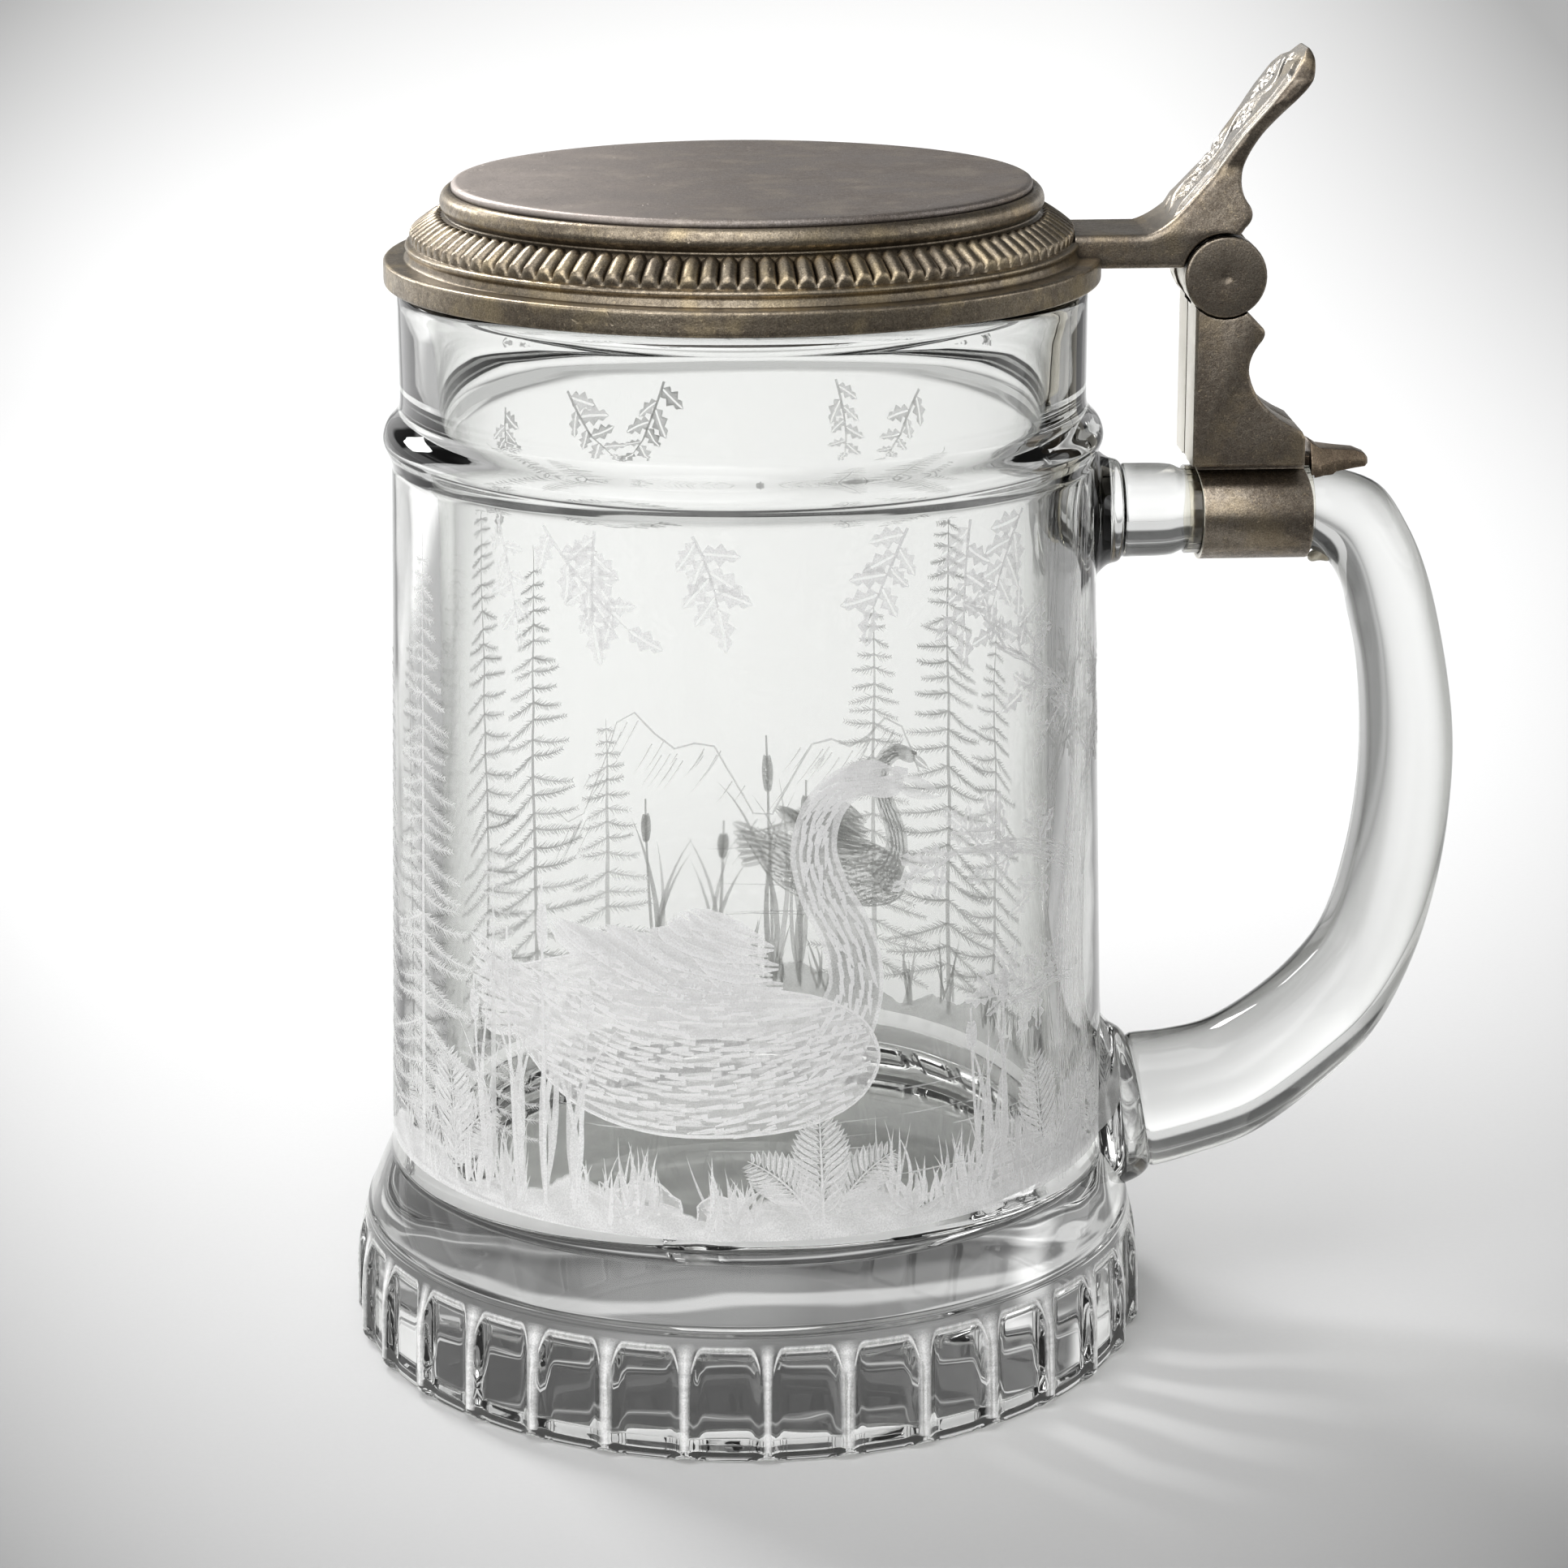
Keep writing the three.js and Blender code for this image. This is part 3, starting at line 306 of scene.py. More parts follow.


def glass_material():
    """Clear pressed glass: slightly wavy, with lamps reaching what is behind it. Painted shade makes
    it darker where seen edge on, and the handle darker towards both its edges."""
    t = Tree(bpy.data.materials.new("clear_glass"))
    waves = t.bump(t.noise(26, detail=2, roughness=0.4), 0.25, 0.0012)
    normal = t.bump(t.noise(90, detail=1, roughness=0.3), 0.12, 0.0003, waves)
    edge_on = t.facing(0.5)
    x, _, z = t.split(t.place())
    across = x - HANDLE_EYE[0]
    up = (z - HANDLE_EYE[1]) * 0.8
    reach = t.math("SQRT", across * across + up * up)
    inwards = t.split(t.place("Normal"))[0]
    # Painted shade on the handle's outer edge and on its inward faces
    edges = t.max(t.span(reach, *HANDLE_OUTER_SHADE_REACH, 0.0, 0.55), t.span(inwards, -0.2, -0.6, 0.0, 0.4))
    wall = t.blend(t.span(edge_on, 0.4, 0.98), *WALL_TINT_AND_EDGE_SHADE)
    handle = t.blend(t.max(t.span(edge_on, 0.12, 0.6), edges), *HANDLE_TINT_AND_EDGE_SHADE)
    glass = t.add("BsdfPrincipled", {
        "Base Color": t.blend(t.span(x, *HANDLE_FROM), wall, handle),
        "Roughness": t.span(t.noise(55, detail=3), 0.45, 0.75, 0.0, 0.045),
        "IOR": GLASS_IOR,
        "Transmission Weight": 1.0,
        "Normal": normal,
    })
    return t.finish(t.clear_to_lamps(glass, t.blend(t.facing(0.35), *LAMP_TINTS)))


def sleeve_material():
    t = Tree(bpy.data.materials.new("clear_sleeve"))
    tone = t.noise(300, detail=3)
    sleeve = t.add("BsdfPrincipled", {
        "Base Color": t.blend(t.span(tone, 0.35, 0.65), (0.93, 0.9, 0.8), (0.98, 0.97, 0.92)),
        "Roughness": t.span(tone, 0.4, 0.7, 0.08, 0.2),
        "IOR": GLASS_IOR,
        "Transmission Weight": 1.0,
        "Normal": t.bump(tone, 0.2, 0.0004),
    })
    return t.finish(t.clear_to_lamps(sleeve, (0.85, 0.82, 0.74)))


def old_resin(t):
    """Old cream-coloured resin, cloudy and a little glossy."""
    cloud = t.noise(900)
    return {
        "Base Color": t.blend(t.span(cloud, 0.35, 0.65), (0.5, 0.44, 0.33), (0.78, 0.73, 0.6)),
        "Roughness": t.span(cloud, 0.3, 0.7, 0.25, 0.5),
        "Normal": t.bump(t.noise(1600), 0.3, 0.0001),
    }


def frost_and_highlight_skin(t):
    """Ground glass: a matt white skin, thin where the engraving is faint. It also makes the foot's
    painted highlights.
    """
    tone = t.add("Attribute", out="Fac", attribute_name="tone")
    grain = t.span(t.noise(5200, detail=2), 0.3, 0.7, 0.82, 1.12)
    return {
        "Base Color": t.blend(t.noise(900), (0.88, 0.88, 0.875), (0.97, 0.97, 0.965)),
        "Roughness": 0.85,
        "Alpha": t.math("MINIMUM", tone * grain, 0.96),
        "Normal": t.bump(t.noise(2600, detail=3), 0.3, 0.00005),
    }


def times(colour, factor, more=0.0):
    return tuple(min(1, c * factor + more) for c in colour)


DISC_PAINTED_LIGHT = 0.004, -0.034  # metres along X over which painted light makes the disc lighter
FACE_FOOT = 0.1412, 0.1452  # heights in metres over which the foot of the lever's face ends
# Colour of a painted reflection of bright light from the left, on faces that point to the left
PAINTED_LEFT_REFLECTION_COLOUR = (0.86, 0.83, 0.74)


def pewter(name, dark, light, warm, roughness, pits=0.5, painted_light_left=0.0, foot=None, painted_left_reflection=False):
    """Old cast metal: mottled patina, worn edges, dark hollows, fine scratches and pits. It can be
    made lighter at its left by painted light, have a darker foot, and get a painted reflection on its
    left-hand faces."""

    def build(t):
        clouds = t.noise(95, detail=6, roughness=0.62)
        mottle = t.noise(1250, detail=5, roughness=0.72)
        grain = t.noise(4200, detail=3, roughness=0.6)
        tone = clouds * 0.5 + mottle * 0.5
        base = t.blend(t.span(tone, 0.38, 0.62), dark, light)
        golden = t.span(t.noise(170), 0.48, 0.66)
        base = t.blend(golden * 0.7, base, warm)
        speckle = t.span(t.noise(2400, detail=2, roughness=0.8), 0.6, 0.7)
        base = t.blend(speckle * 0.55, base, times(warm, 1.5))
        speck = t.span(t.noise(5600, detail=2, roughness=0.7), 0.36, 0.64, 0.72, 1.2)
        base = t.blend(1.0, base, t.add("CombineColor", {0: speck, 1: speck, 2: speck}), "MULTIPLY")
        x, _, z = t.split(t.place())
        # Painted light: lighter towards the left
        if painted_light_left:
            base = t.blend(t.span(x, *DISC_PAINTED_LIGHT, 0.0, painted_light_left), base, times(light, 1.8))
        if foot:
            base = t.blend(t.span(z, *FACE_FOOT), foot, base)
        worn = t.edges(0.0006) * t.span(mottle, 0.3, 0.6)
        base = t.blend(worn * 0.75, base, times(light, 2.1, 0.05))
        # Painted reflection: faces that point to the left turn pale
        if painted_left_reflection:
            facing = t.split(t.place("Normal"))[0]
            base = t.blend(t.span(facing, -0.6, -0.92, 0.0, 0.85), base, PAINTED_LEFT_REFLECTION_COLOUR)
        hollow = t.add("AmbientOcclusion", {"Distance": 0.0016}, "AO", samples=6)
        base = t.blend(t.span(hollow, 0.95, 0.35, 0.0, 0.85), base, times(dark, 0.22))
        pit = t.span(t.noise(430, detail=2, roughness=0.8), 0.69, 0.75)
        relief = t.bump(grain * 0.35 + mottle * 0.65 - pit * pits, 0.5, 0.00012)
        scratch = t.noise(900, detail=2, stretch=(0.12, 1.0, 1.0))
        return {
            "Base Color": base,
            "Metallic": 1.0,
            "Roughness": t.span(tone, 0.35, 0.65, 0.08, -0.06) + roughness - worn * 0.12,
            "Normal": t.bump(scratch, 0.1, 0.00006, relief),
        }

    return principled(name, build)


GLASS = glass_material()
SLEEVE = sleeve_material()
RESIN = principled("old_resin", old_resin)
FROST_AND_HIGHLIGHTS = principled("frost_and_painted_highlights", frost_and_highlight_skin)
# Faces that point to the left get a painted reflection
DARK_PEWTER = pewter(
    "dark_pewter", (0.17, 0.14, 0.11), (0.33, 0.285, 0.23), (0.37, 0.3, 0.205), 0.36, painted_left_reflection=True,
)
WARM_PEWTER = pewter(
    "warm_pewter", (0.2, 0.165, 0.125), (0.4, 0.34, 0.26), (0.5, 0.405, 0.26), 0.33,
)
# The lid's disc: painted light makes its left lighter
GREY_PEWTER = pewter(
    "grey_pewter", (0.25, 0.215, 0.19), (0.38, 0.34, 0.315), (0.4, 0.35, 0.3), 0.48, 0.9, 0.6,
)
# A lighter copy of the pewter for the lever's face: painted reflection of bright light from the upper
# left
FACE_PAINTED_REFLECTION = pewter(
    "face_pewter_painted_reflection", (0.42, 0.385, 0.34), (0.72, 0.69, 0.64), (0.6, 0.52, 0.4), 0.34,
    foot=(0.27, 0.235, 0.19),
)
COPPER = pewter("copper", (0.17, 0.125, 0.09), (0.36, 0.28, 0.2), (0.42, 0.31, 0.2), 0.36)
STEEL = pewter("steel_pin", (0.2, 0.19, 0.18), (0.36, 0.35, 0.33), (0.3, 0.26, 0.2), 0.3)


# Glass body, in millimetres, as the frame has it
FLUTES = 32
FOOT_R = 50.84
FOOT_WIDEST = 1.8
FOOT_ROLL = 2.6
FOOT_SHOULDER = 6.2
FOOT_TOP = 24
FOOT_DOME = 5.1
FLUTE_FACE_R = 49.6
FLUTE_FACE_Z = 2.0
FLUTE_LEAN = 0.03
FLUTE_RIDGE = 1.35
FLUTE_FLAT = 0.56
FLUTE_TOP = 13.2
FLUTE_ARCH = 0.22
FLUTE_SOFTNESS = 0.05
SEAM_Z = 16.6
SEAM_HEIGHT = 0.16
SEAM_HALF_WIDTH = 0.4
FOOT_HEIGHTS = np.concatenate([
    np.linspace(0.03, 1.4, 6), np.linspace(1.8, 11.6, 24), np.linspace(12, 18.2, 32),
    np.linspace(18.6, 24, 15),
])
UNDERSIDE = (2, 0.3), (20, 0.3), (40, 0.3), (43, 0.2), (44, 0.02), (44.8, 0), (46.8, 0)
SHOULDER = (45.66, 24.6), (45.6, 25.4), (45.56, 26.4), (45.54, 27.6)
WALL_LOW, WALL_HIGH = (45.5, 29), (43.45, 111)
BEAD = (
    (43.43, 112.2), (43.45, 113.2), (43.9, 114.6), (44.4, 116.1), (44.0, 117.5), (42.95, 118.8),
    (42.35, 119.9), (42.2, 121.2),
)
NECK_LOW, NECK_HIGH = (42.2, 123), (42.2, 132.8)
RIM = (
    (42.2, 133.5), (42.0, 134.25), (41.4, 134.8), (40.6, 134.95), (39.9, 134.9), (39.2, 134.5),
    (38.92, 133.8), (38.9, 132.6),
)
MOUTH_HIGH, MOUTH_LOW = (38.9, 132), (38, 119.7)
INSIDE_HIGH, INSIDE_LOW = (37.95, 118.5), (38.7, 32)
FLOOR = (
    (38.72, 30), (38.6, 28.4), (38.1, 26.4), (37.0, 25.0), (35.2, 24.1), (32, 23.7), (26, 23.55),
    (14, 23.5), (2, 23.5),
)
CORE_R, CORE_LOW, CORE_HIGH = 42.0, 10, 120

# Stations of the handle: outer point (x, z), inner point, half width, how far its inside is flat
HANDLE = np.array([
    (40.6, 116.4, 40.6, 94.2, 10.6, 0), (42.9, 114.9, 42.9, 95.6, 9.4, 0),
    (43.9, 113.2, 43.9, 97.3, 8.2, 0), (45.2, 112.1, 45.2, 98.5, 7.3, 0),
    (46.5, 111.65, 46.5, 98.95, 6.85, 0), (46.85, 111.3, 46.85, 99.3, 6.45, 0),
    (47.05, 111.0, 47.05, 99.65, 6.1, 0), (47.3, 111.15, 47.3, 99.5, 6.2, 0),
    (48.4, 111.18, 48.4, 99.5, 6.15, 0), (53.2, 111.0, 53.2, 99.7, 6.0, 0),
    (54.6, 110.45, 54.6, 100.25, 5.9, 0), (57.1, 110.45, 57.1, 100.25, 5.9, 0),
    (62.6, 110.45, 62.6, 100.25, 5.9, 0), (68.2, 110.45, 68.2, 100.25, 5.9, 0),
    (70.7, 110.45, 70.7, 100.2, 5.9, 0), (73.2, 110.4, 72.2, 99.45, 6.05, 0),
    (79.4, 108.2, 73.6, 98.1, 6.15, 0.25), (83.1, 103.1, 75.3, 95, 6.25, 0.65),
    (85.7, 97.2, 76.4, 91.1, 6.35, 0.95), (88.2, 87.5, 77.6, 85.8, 6.45, 1),
    (89.78, 77.5, 78.4, 77, 6.55, 1), (89.97, 69.5, 78.3, 69, 6.6, 1),
    (88.9, 58.5, 77, 59.6, 6.65, 1), (86, 46.8, 74.2, 50.4, 6.8, 0.9),
    (81, 36.4, 70.2, 45.3, 7, 0.6), (74, 29.1, 65, 40.9, 7.3, 0.25),
    (65.5, 22.7, 59.2, 37.6, 7.5, 0.05), (58, 19.9, 53.6, 36.4, 7.6, 0),
    (52.6, 18.45, 49.6, 36.0, 7.6, 0), (52.1, 18.5, 49.1, 35.75, 7.45, 0),
    (51.8, 18.0, 48.85, 36.1, 7.75, 0), (50.9, 17.1, 48.1, 36.9, 8.3, 0),
    (49.0, 16.2, 46.6, 37.9, 9.1, 0), (46.5, 15.4, 45.2, 39.4, 10.2, 0),
    (43.0, 15.2, 43.0, 41.0, 11.4, 0),
])
HANDLE_FLAT = 3.8
HANDLE_POWER = 14.0


def foot_radius(z):
    """Outline of the foot before the flutes are pressed in."""
    z = np.asarray(z, float)
    up = np.clip((z - FOOT_SHOULDER) / (FOOT_TOP - FOOT_SHOULDER), 0, None)
    seam = SEAM_HEIGHT * np.exp(-((z - SEAM_Z) / SEAM_HALF_WIDTH) ** 2)
    above = FOOT_R - FOOT_DOME * up ** 1.8 + seam
    rise = np.sin(math.pi / 2 * np.clip(z / FOOT_WIDEST, 0, 1) ** 0.62)
    return np.where(z >= FOOT_WIDEST, above, FOOT_R - FOOT_ROLL + FOOT_ROLL * rise)


def flute_cut(across, z):
    """Radius of a flute: a flat cut that leans back, with a ridge at either side. Its top runs
    out in an arch. across is 0 in its middle and 1 on the ridge."""
    flank = np.clip((across - FLUTE_FLAT) / (1 - FLUTE_FLAT), 0, 1)
    ridge = FLUTE_RIDGE * flank * flank * (3 - 2 * flank)
    arch = FLUTE_ARCH * np.maximum(z - FLUTE_TOP, 0) ** 2
    return FLUTE_FACE_R - FLUTE_LEAN * (z - FLUTE_FACE_Z) + ridge + arch


def fluted(z):
    """One height of the foot: the inner one of its outline and the cut, with a soft edge."""

    def at(angles):
        across = np.abs(((angles * FLUTES / TAU) % 1) * 2 - 1)
        depths = [(FOOT_R - r) / FLUTE_SOFTNESS for r in (foot_radius(z), flute_cut(across, z))]
        return FOOT_R - FLUTE_SOFTNESS * np.log(np.exp(depths[0]) + np.exp(depths[1])), z

    return at


def straight(low, high, count):
    return [tuple(p) for p in np.linspace(low, high, count)]


def body_profile():
    return [
        *UNDERSIDE,
        *[fluted(z) for z in FOOT_HEIGHTS],
        *SHOULDER,
        *straight(WALL_LOW, WALL_HIGH, 22),
        *spline(BEAD, 5),
        *straight(NECK_LOW, NECK_HIGH, 5),
        *spline(RIM, 3),
        *straight(MOUTH_HIGH, MOUTH_LOW, 7),
        *straight(INSIDE_HIGH, INSIDE_LOW, 18),
        *spline(FLOOR, 4),
    ]


def handle_rings(sides=64, steps=6):
    """Rings along the handle: ovals whose inner side is flattened by chamfers."""
    nil = np.zeros(len(HANDLE))
    outer = spline(np.column_stack([HANDLE[:, 0], nil, HANDLE[:, 1]]), steps)
    inner = spline(np.column_stack([HANDLE[:, 2], nil, HANDLE[:, 3]]), steps)
    along = np.arange(len(outer)) / steps
    width, flat = (np.interp(along, np.arange(len(HANDLE)), HANDLE[:, k]) for k in (4, 5))
    angles = -np.arange(sides) * TAU / sides
    c, s = np.cos(angles), np.sin(angles)
    rings = []
    for o, n, half, flatness in zip(outer, inner, width, flat):
        thick = np.linalg.norm(o - n)
        out = (o - n) / thick
        u, v = thick / 2 * c, half * s
        oval = np.minimum(thick / 2 / np.maximum(-c, 1e-6), half / np.maximum(np.abs(s), 1e-6))
        chamfer = (thick / 2 + HANDLE_FLAT) / np.maximum(np.abs(s) - c, 1e-6)
        soft = (oval ** -HANDLE_POWER + chamfer ** -HANDLE_POWER) ** (-1 / HANDLE_POWER)
        u = np.where(c < 0, u + flatness * (soft * c - u), u)
        v = np.where(c < 0, v + flatness * (soft * s - v), v)
        rings.append((o + n) / 2 + np.outer(u, out) + np.outer(v, (0, 1, 0)))
    return rings


def apply_boolean(obj, tool, operation):
    modifier = obj.modifiers.new("join", "BOOLEAN")
    modifier.object = tool
    modifier.operation = operation
    modifier.solver = "EXACT"
    bpy.context.view_layer.update()
    depsgraph = bpy.context.evaluated_depsgraph_get()
    mesh = bpy.data.meshes.new_from_object(obj.evaluated_get(depsgraph))
    obj.modifiers.clear()
    obj.data = mesh


def build_glass():
    """Body and handle fused into one clear piece, with a fine seam at both ends of the handle. A
    core a little wider than the hollow first cuts the handle's ends short."""
    body = add_object("glass_clear", *loft(turned(body_profile(), 20 * FLUTES)), GLASS)
    handle = add_object("handle_loft", *loft(handle_rings()), GLASS)
    face_outwards(body)
    face_outwards(handle)
    plug = [(1, CORE_LOW), (CORE_R, CORE_LOW), (CORE_R, 20), (CORE_R, 60), (CORE_R, CORE_HIGH)]
    core = add_object("cavity_core", *loft(turned([*plug, (1, CORE_HIGH)], 192)), GLASS)
    apply_boolean(handle, core, "DIFFERENCE")
    apply_boolean(body, handle, "UNION")
    bpy.data.objects.remove(handle)
    bpy.data.objects.remove(core)
    shade_smooth(body, 32)
    settle(body, "mug", "clear_glass", "glass_body", "glass_handle")


# Pale skins on the foot: painted highlights on its ridges and lips. Its lips: height over the cut's
# end, and share of the full tone
HIGHLIGHT_LIFT = 0.008
HIGHLIGHT_TONE = 0.95
HIGHLIGHT_LOW, HIGHLIGHT_HIGH, HIGHLIGHT_FADE = 1.9, 15.2, 1.6
HIGHLIGHT_LIP = ((-0.5, 0.0), (-0.15, 0.8), (0.25, 1.0), (0.6, 0.0))
LIP_HEIGHTS = np.linspace(12, 17.5, 111)


def highlight_point(angle, z, tone):
    radius = float(fluted(z)(np.array([angle]))[0][0]) + HIGHLIGHT_LIFT
    return radius * math.cos(angle), radius * math.sin(angle), z, tone


def lip_height(across):
    """Where a flute's cut comes out of the foot's outline."""
    over = np.nonzero(flute_cut(abs(across), LIP_HEIGHTS) >= foot_radius(LIP_HEIGHTS))[0]
    return LIP_HEIGHTS[over[0]] if len(over) else LIP_HEIGHTS[0]


def build_foot_painted_highlights():
    """Painted highlights on the ridges between the flutes and on the lips over them: thin pale skins.
    """
    vary = np.random.default_rng(5).uniform
    points, faces = [], []

    def sheet(rows):
        faces.extend(grid(len(rows), len(rows[0]), len(points)))
        points.extend(point for row in rows for point in row)

    pitch = TAU / FLUTES
    for ridge in np.arange(FLUTES) * pitch:
        drift = vary(-0.03, 0.03)
        wide = vary(0.055, 0.1)
        rows = []
        for z in np.linspace(HIGHLIGHT_LOW, HIGHLIGHT_HIGH, 30):
            tone = HIGHLIGHT_TONE * vary(0.8, 1.15) * min(1, (HIGHLIGHT_HIGH + 0.2 - z) / HIGHLIGHT_FADE)
            half = wide * (1 + 0.9 * (z / 15) ** 5)
            rows.append([
                highlight_point(ridge + (drift + half * s) * pitch, z, tone * (1 - abs(s)) ** 0.7)
                for s in (-1, -0.55, 0, 0.55, 1)
            ])
        sheet(rows)
        rows = []
        for across in np.linspace(-0.84, 0.84, 25):
            angle = ridge + (0.5 + across / 2) * pitch
            z = lip_height(across)
            tone = HIGHLIGHT_TONE * vary(0.7, 1.15)
            rows.append([highlight_point(angle, z + up, tone * share) for up, share in HIGHLIGHT_LIP])
        sheet(rows)
    data = np.array(points)
    shade_smooth(add_skin("foot_painted_highlights", data[:, :3], data[:, 3], faces), 60)


# Engraving: a generic pond and woodland picture, drawn as thin frosted marks on the wall
WALL_R = 44.5  # the radius at which lengths along the wall are true
WALL_CURVE = np.array([
    (26.6, 45.6), (29, 45.5), (111, 43.45), (113, 43.43), (114.6, 43.9), (116.1, 44.4), (117.5, 44.0),
    (118.8, 42.95), (121.2, 42.2),
])
MARK_LIFT = (0.02, 0.06)
THINNEST = 0.012
BACK = 139.8  # the middle of the back: half the way round
SWAN_BODY = spline([
    (-0.68, 0.2), (-0.56, 0.2), (-0.4, 0.25), (-0.2, 0.3), (0.02, 0.28), (0.2, 0.2), (0.36, 0.16),
    (0.48, 0.08), (0.52, -0.03), (0.47, -0.13), (0.34, -0.2), (0.1, -0.235), (-0.15, -0.23),
    (-0.36, -0.17), (-0.5, -0.06), (-0.6, 0.08),
], 4)[:-1]
SWAN_NECK = spline([
    (0.3, -0.06), (0.41, 0.07), (0.455, 0.2), (0.43, 0.34), (0.365, 0.47), (0.335, 0.6), (0.37, 0.72),
    (0.45, 0.785), (0.53, 0.785),
], 7)
SWAN_EYE = (0.535, 0.798)
# Rows of the wing's feathers: how many, their length and their width
SWAN_WING = (12, 0.5, 0.066), (12, 0.34, 0.06), (12, 0.2, 0.055), (11, 0.13, 0.05), (10, 0.09, 0.045)


def heading(step):
    return math.degrees(math.atan2(step[1], step[0]))


def normals(path):
    run = np.gradient(path, axis=0)
    run /= np.maximum(np.linalg.norm(run, axis=1, keepdims=True), 1e-9)
    return np.column_stack([-run[:, 1], run[:, 0]])


def crossings(ring, z):
    """Where the edges of a closed ring cross a height, from left to right."""
    ahead = np.roll(ring, -1, axis=0)
    hit = (ring[:, 1] > z) != (ahead[:, 1] > z)
    a, b = ring[hit], ahead[hit]
    return np.sort(a[:, 0] + (z - a[:, 1]) / (b[:, 1] - a[:, 1]) * (b[:, 0] - a[:, 0]))


def inside(ring, s, z):
    return np.count_nonzero(crossings(ring, z) > s) % 2


class Engraving:
    """Frosted marks in wall coordinates: s along the wall from the front's middle, and height z,
    both in millimetres. Each point has a tone: how dense the frosting is there."""

    def __init__(self, seed):
        self.rng = random.Random(seed)
        self.vary = self.rng.uniform
        self.points = []
        self.faces = []

    def sheet(self, rows):
        """Quads over rows of equal length; a row is a list of (s, z, tone)."""
        lift = self.vary(*MARK_LIFT)
        self.faces += grid(len(rows), len(rows[0]), len(self.points))
        self.points += [(*point, lift) for row in rows for point in row]

    def curve(self, start, angle, length, bend, steps):
        """A path that sets off at an angle in degrees and turns by bend along its length."""
        out = [np.array(start, float)]
        for k in range(steps):
            turn = math.radians(angle + bend * (k + 0.5) / steps)
            out.append(out[-1] + length / steps * np.array([math.cos(turn), math.sin(turn)]))
        return np.array(out)

    def stroke(self, path, width, tone, tip=0.0, root=1.0):
        """A tapered line along a path, widest near its root."""
        path = np.asarray(path, float)
        share = np.linspace(0, 1, len(path))
        half = width / 2 * (root + (1 - root) * np.minimum(share * 4, 1))
        half = np.maximum(half * (1 - (1 - tip) * share ** 1.7), THINNEST)
        self.sheet([
            [(*(p - h * n), tone), (*(p + h * n), tone)]
            for p, n, h in zip(path, normals(path), half)
        ])

    def hair(self, start, angle, length, bend, steps, width, tone, **ends):
        self.stroke(self.curve(start, angle, length, bend, steps), width, tone, **ends)

    def leaf(self, base, angle, length, width, tone, lobes=0, bend=0.0, gap=0.07, steps=8):
        """A leaf of two blades with a clear midrib between them; lobes give it an oak's edge."""
        rib = self.curve(base, angle, length, bend, steps)
        share = np.linspace(0, 1, steps + 1)
        half = width / 2 * np.sin(math.pi * share ** 0.8) ** 0.75
        if lobes:
            half = half * (0.72 + 0.28 * np.cos(share * lobes * TAU + math.pi))
        for turn in (1, -1):
            shade = tone * self.vary(0.8, 1.1)
            self.sheet([
                [
                    (*(p + turn * n * min(gap * width, 0.6 * h)), shade * 0.72),
                    (*(p + turn * n * 0.6 * (h + gap * width)), shade * 0.88),
                    (*(p + turn * n * h), min(1, shade * 1.15)),
                ]
                for p, n, h in zip(rib, normals(rib), half)
            ])

    def feather(self, base, angle, length, width, tone, bend=0.0):
        """A feather: full along its length, with a round end and a fine clear quill."""
        rib = self.curve(base, angle, length, bend, 7)
        share = np.linspace(0, 1, 8)
        half = width / 2 * np.minimum(1, 0.35 + 1.6 * share) * np.sqrt(1 - share ** 6)
        half = np.maximum(half, 0.06 * width)
        for turn, dim in ((1, 1.0), (-1, 0.78)):
            quill, edge = tone * dim * 0.8, min(1, tone * dim * 1.12)
            self.sheet([
                [(*(p + turn * n * 0.05 * width), quill), (*(p + turn * n * h), edge)]
                for p, n, h in zip(rib, normals(rib), half)
            ])

    def fill(self, ring, pitch, shade):
        """A closed ring, filled row by row with panels short enough to follow the wall. shade
        gives the tone at a point."""
        ring = np.asarray(ring, float)
        low, high = ring[:, 1].min(), ring[:, 1].max()
        levels = np.linspace(low + 1e-4, high - 1e-4, max(2, int((high - low) / pitch)) + 1)
        for z0, z1 in zip(levels[:-1], levels[1:]):
            below, above = crossings(ring, z0 + 1e-6), crossings(ring, z1 - 1e-6)
            if len(below) != len(above):
                continue
            for k in range(0, len(below) - 1, 2):
                parts = max(1, int((below[k + 1] - below[k]) / 1.6)) + 1
                self.sheet([
                    [(s, z, shade(s, z)) for s in np.linspace(ends[k], ends[k + 1], parts)]
                    for z, ends in ((z0, below), (z1, above))
                ])

    # Plants
    def tuft(self, s, z, height, blades, tone):
        """Blades of grass that fan out from one place."""
        vary = self.vary
        for k in range(blades):
            lean = 46 * (0.5 - k / (blades - 1))
            start = (s + vary(-1.6, 1.6), z + vary(-0.6, 0.6))
            tall = height * vary(0.55, 1.1)
            shade = tone * vary(0.75, 1.15)
            width = vary(0.35, 0.8)
            angle = 90 + lean + vary(-9, 9)
            bend = vary(-28, 28) - 1.2 * lean
            self.hair(start, angle, tall, bend, 7, width, shade, root=0.6)

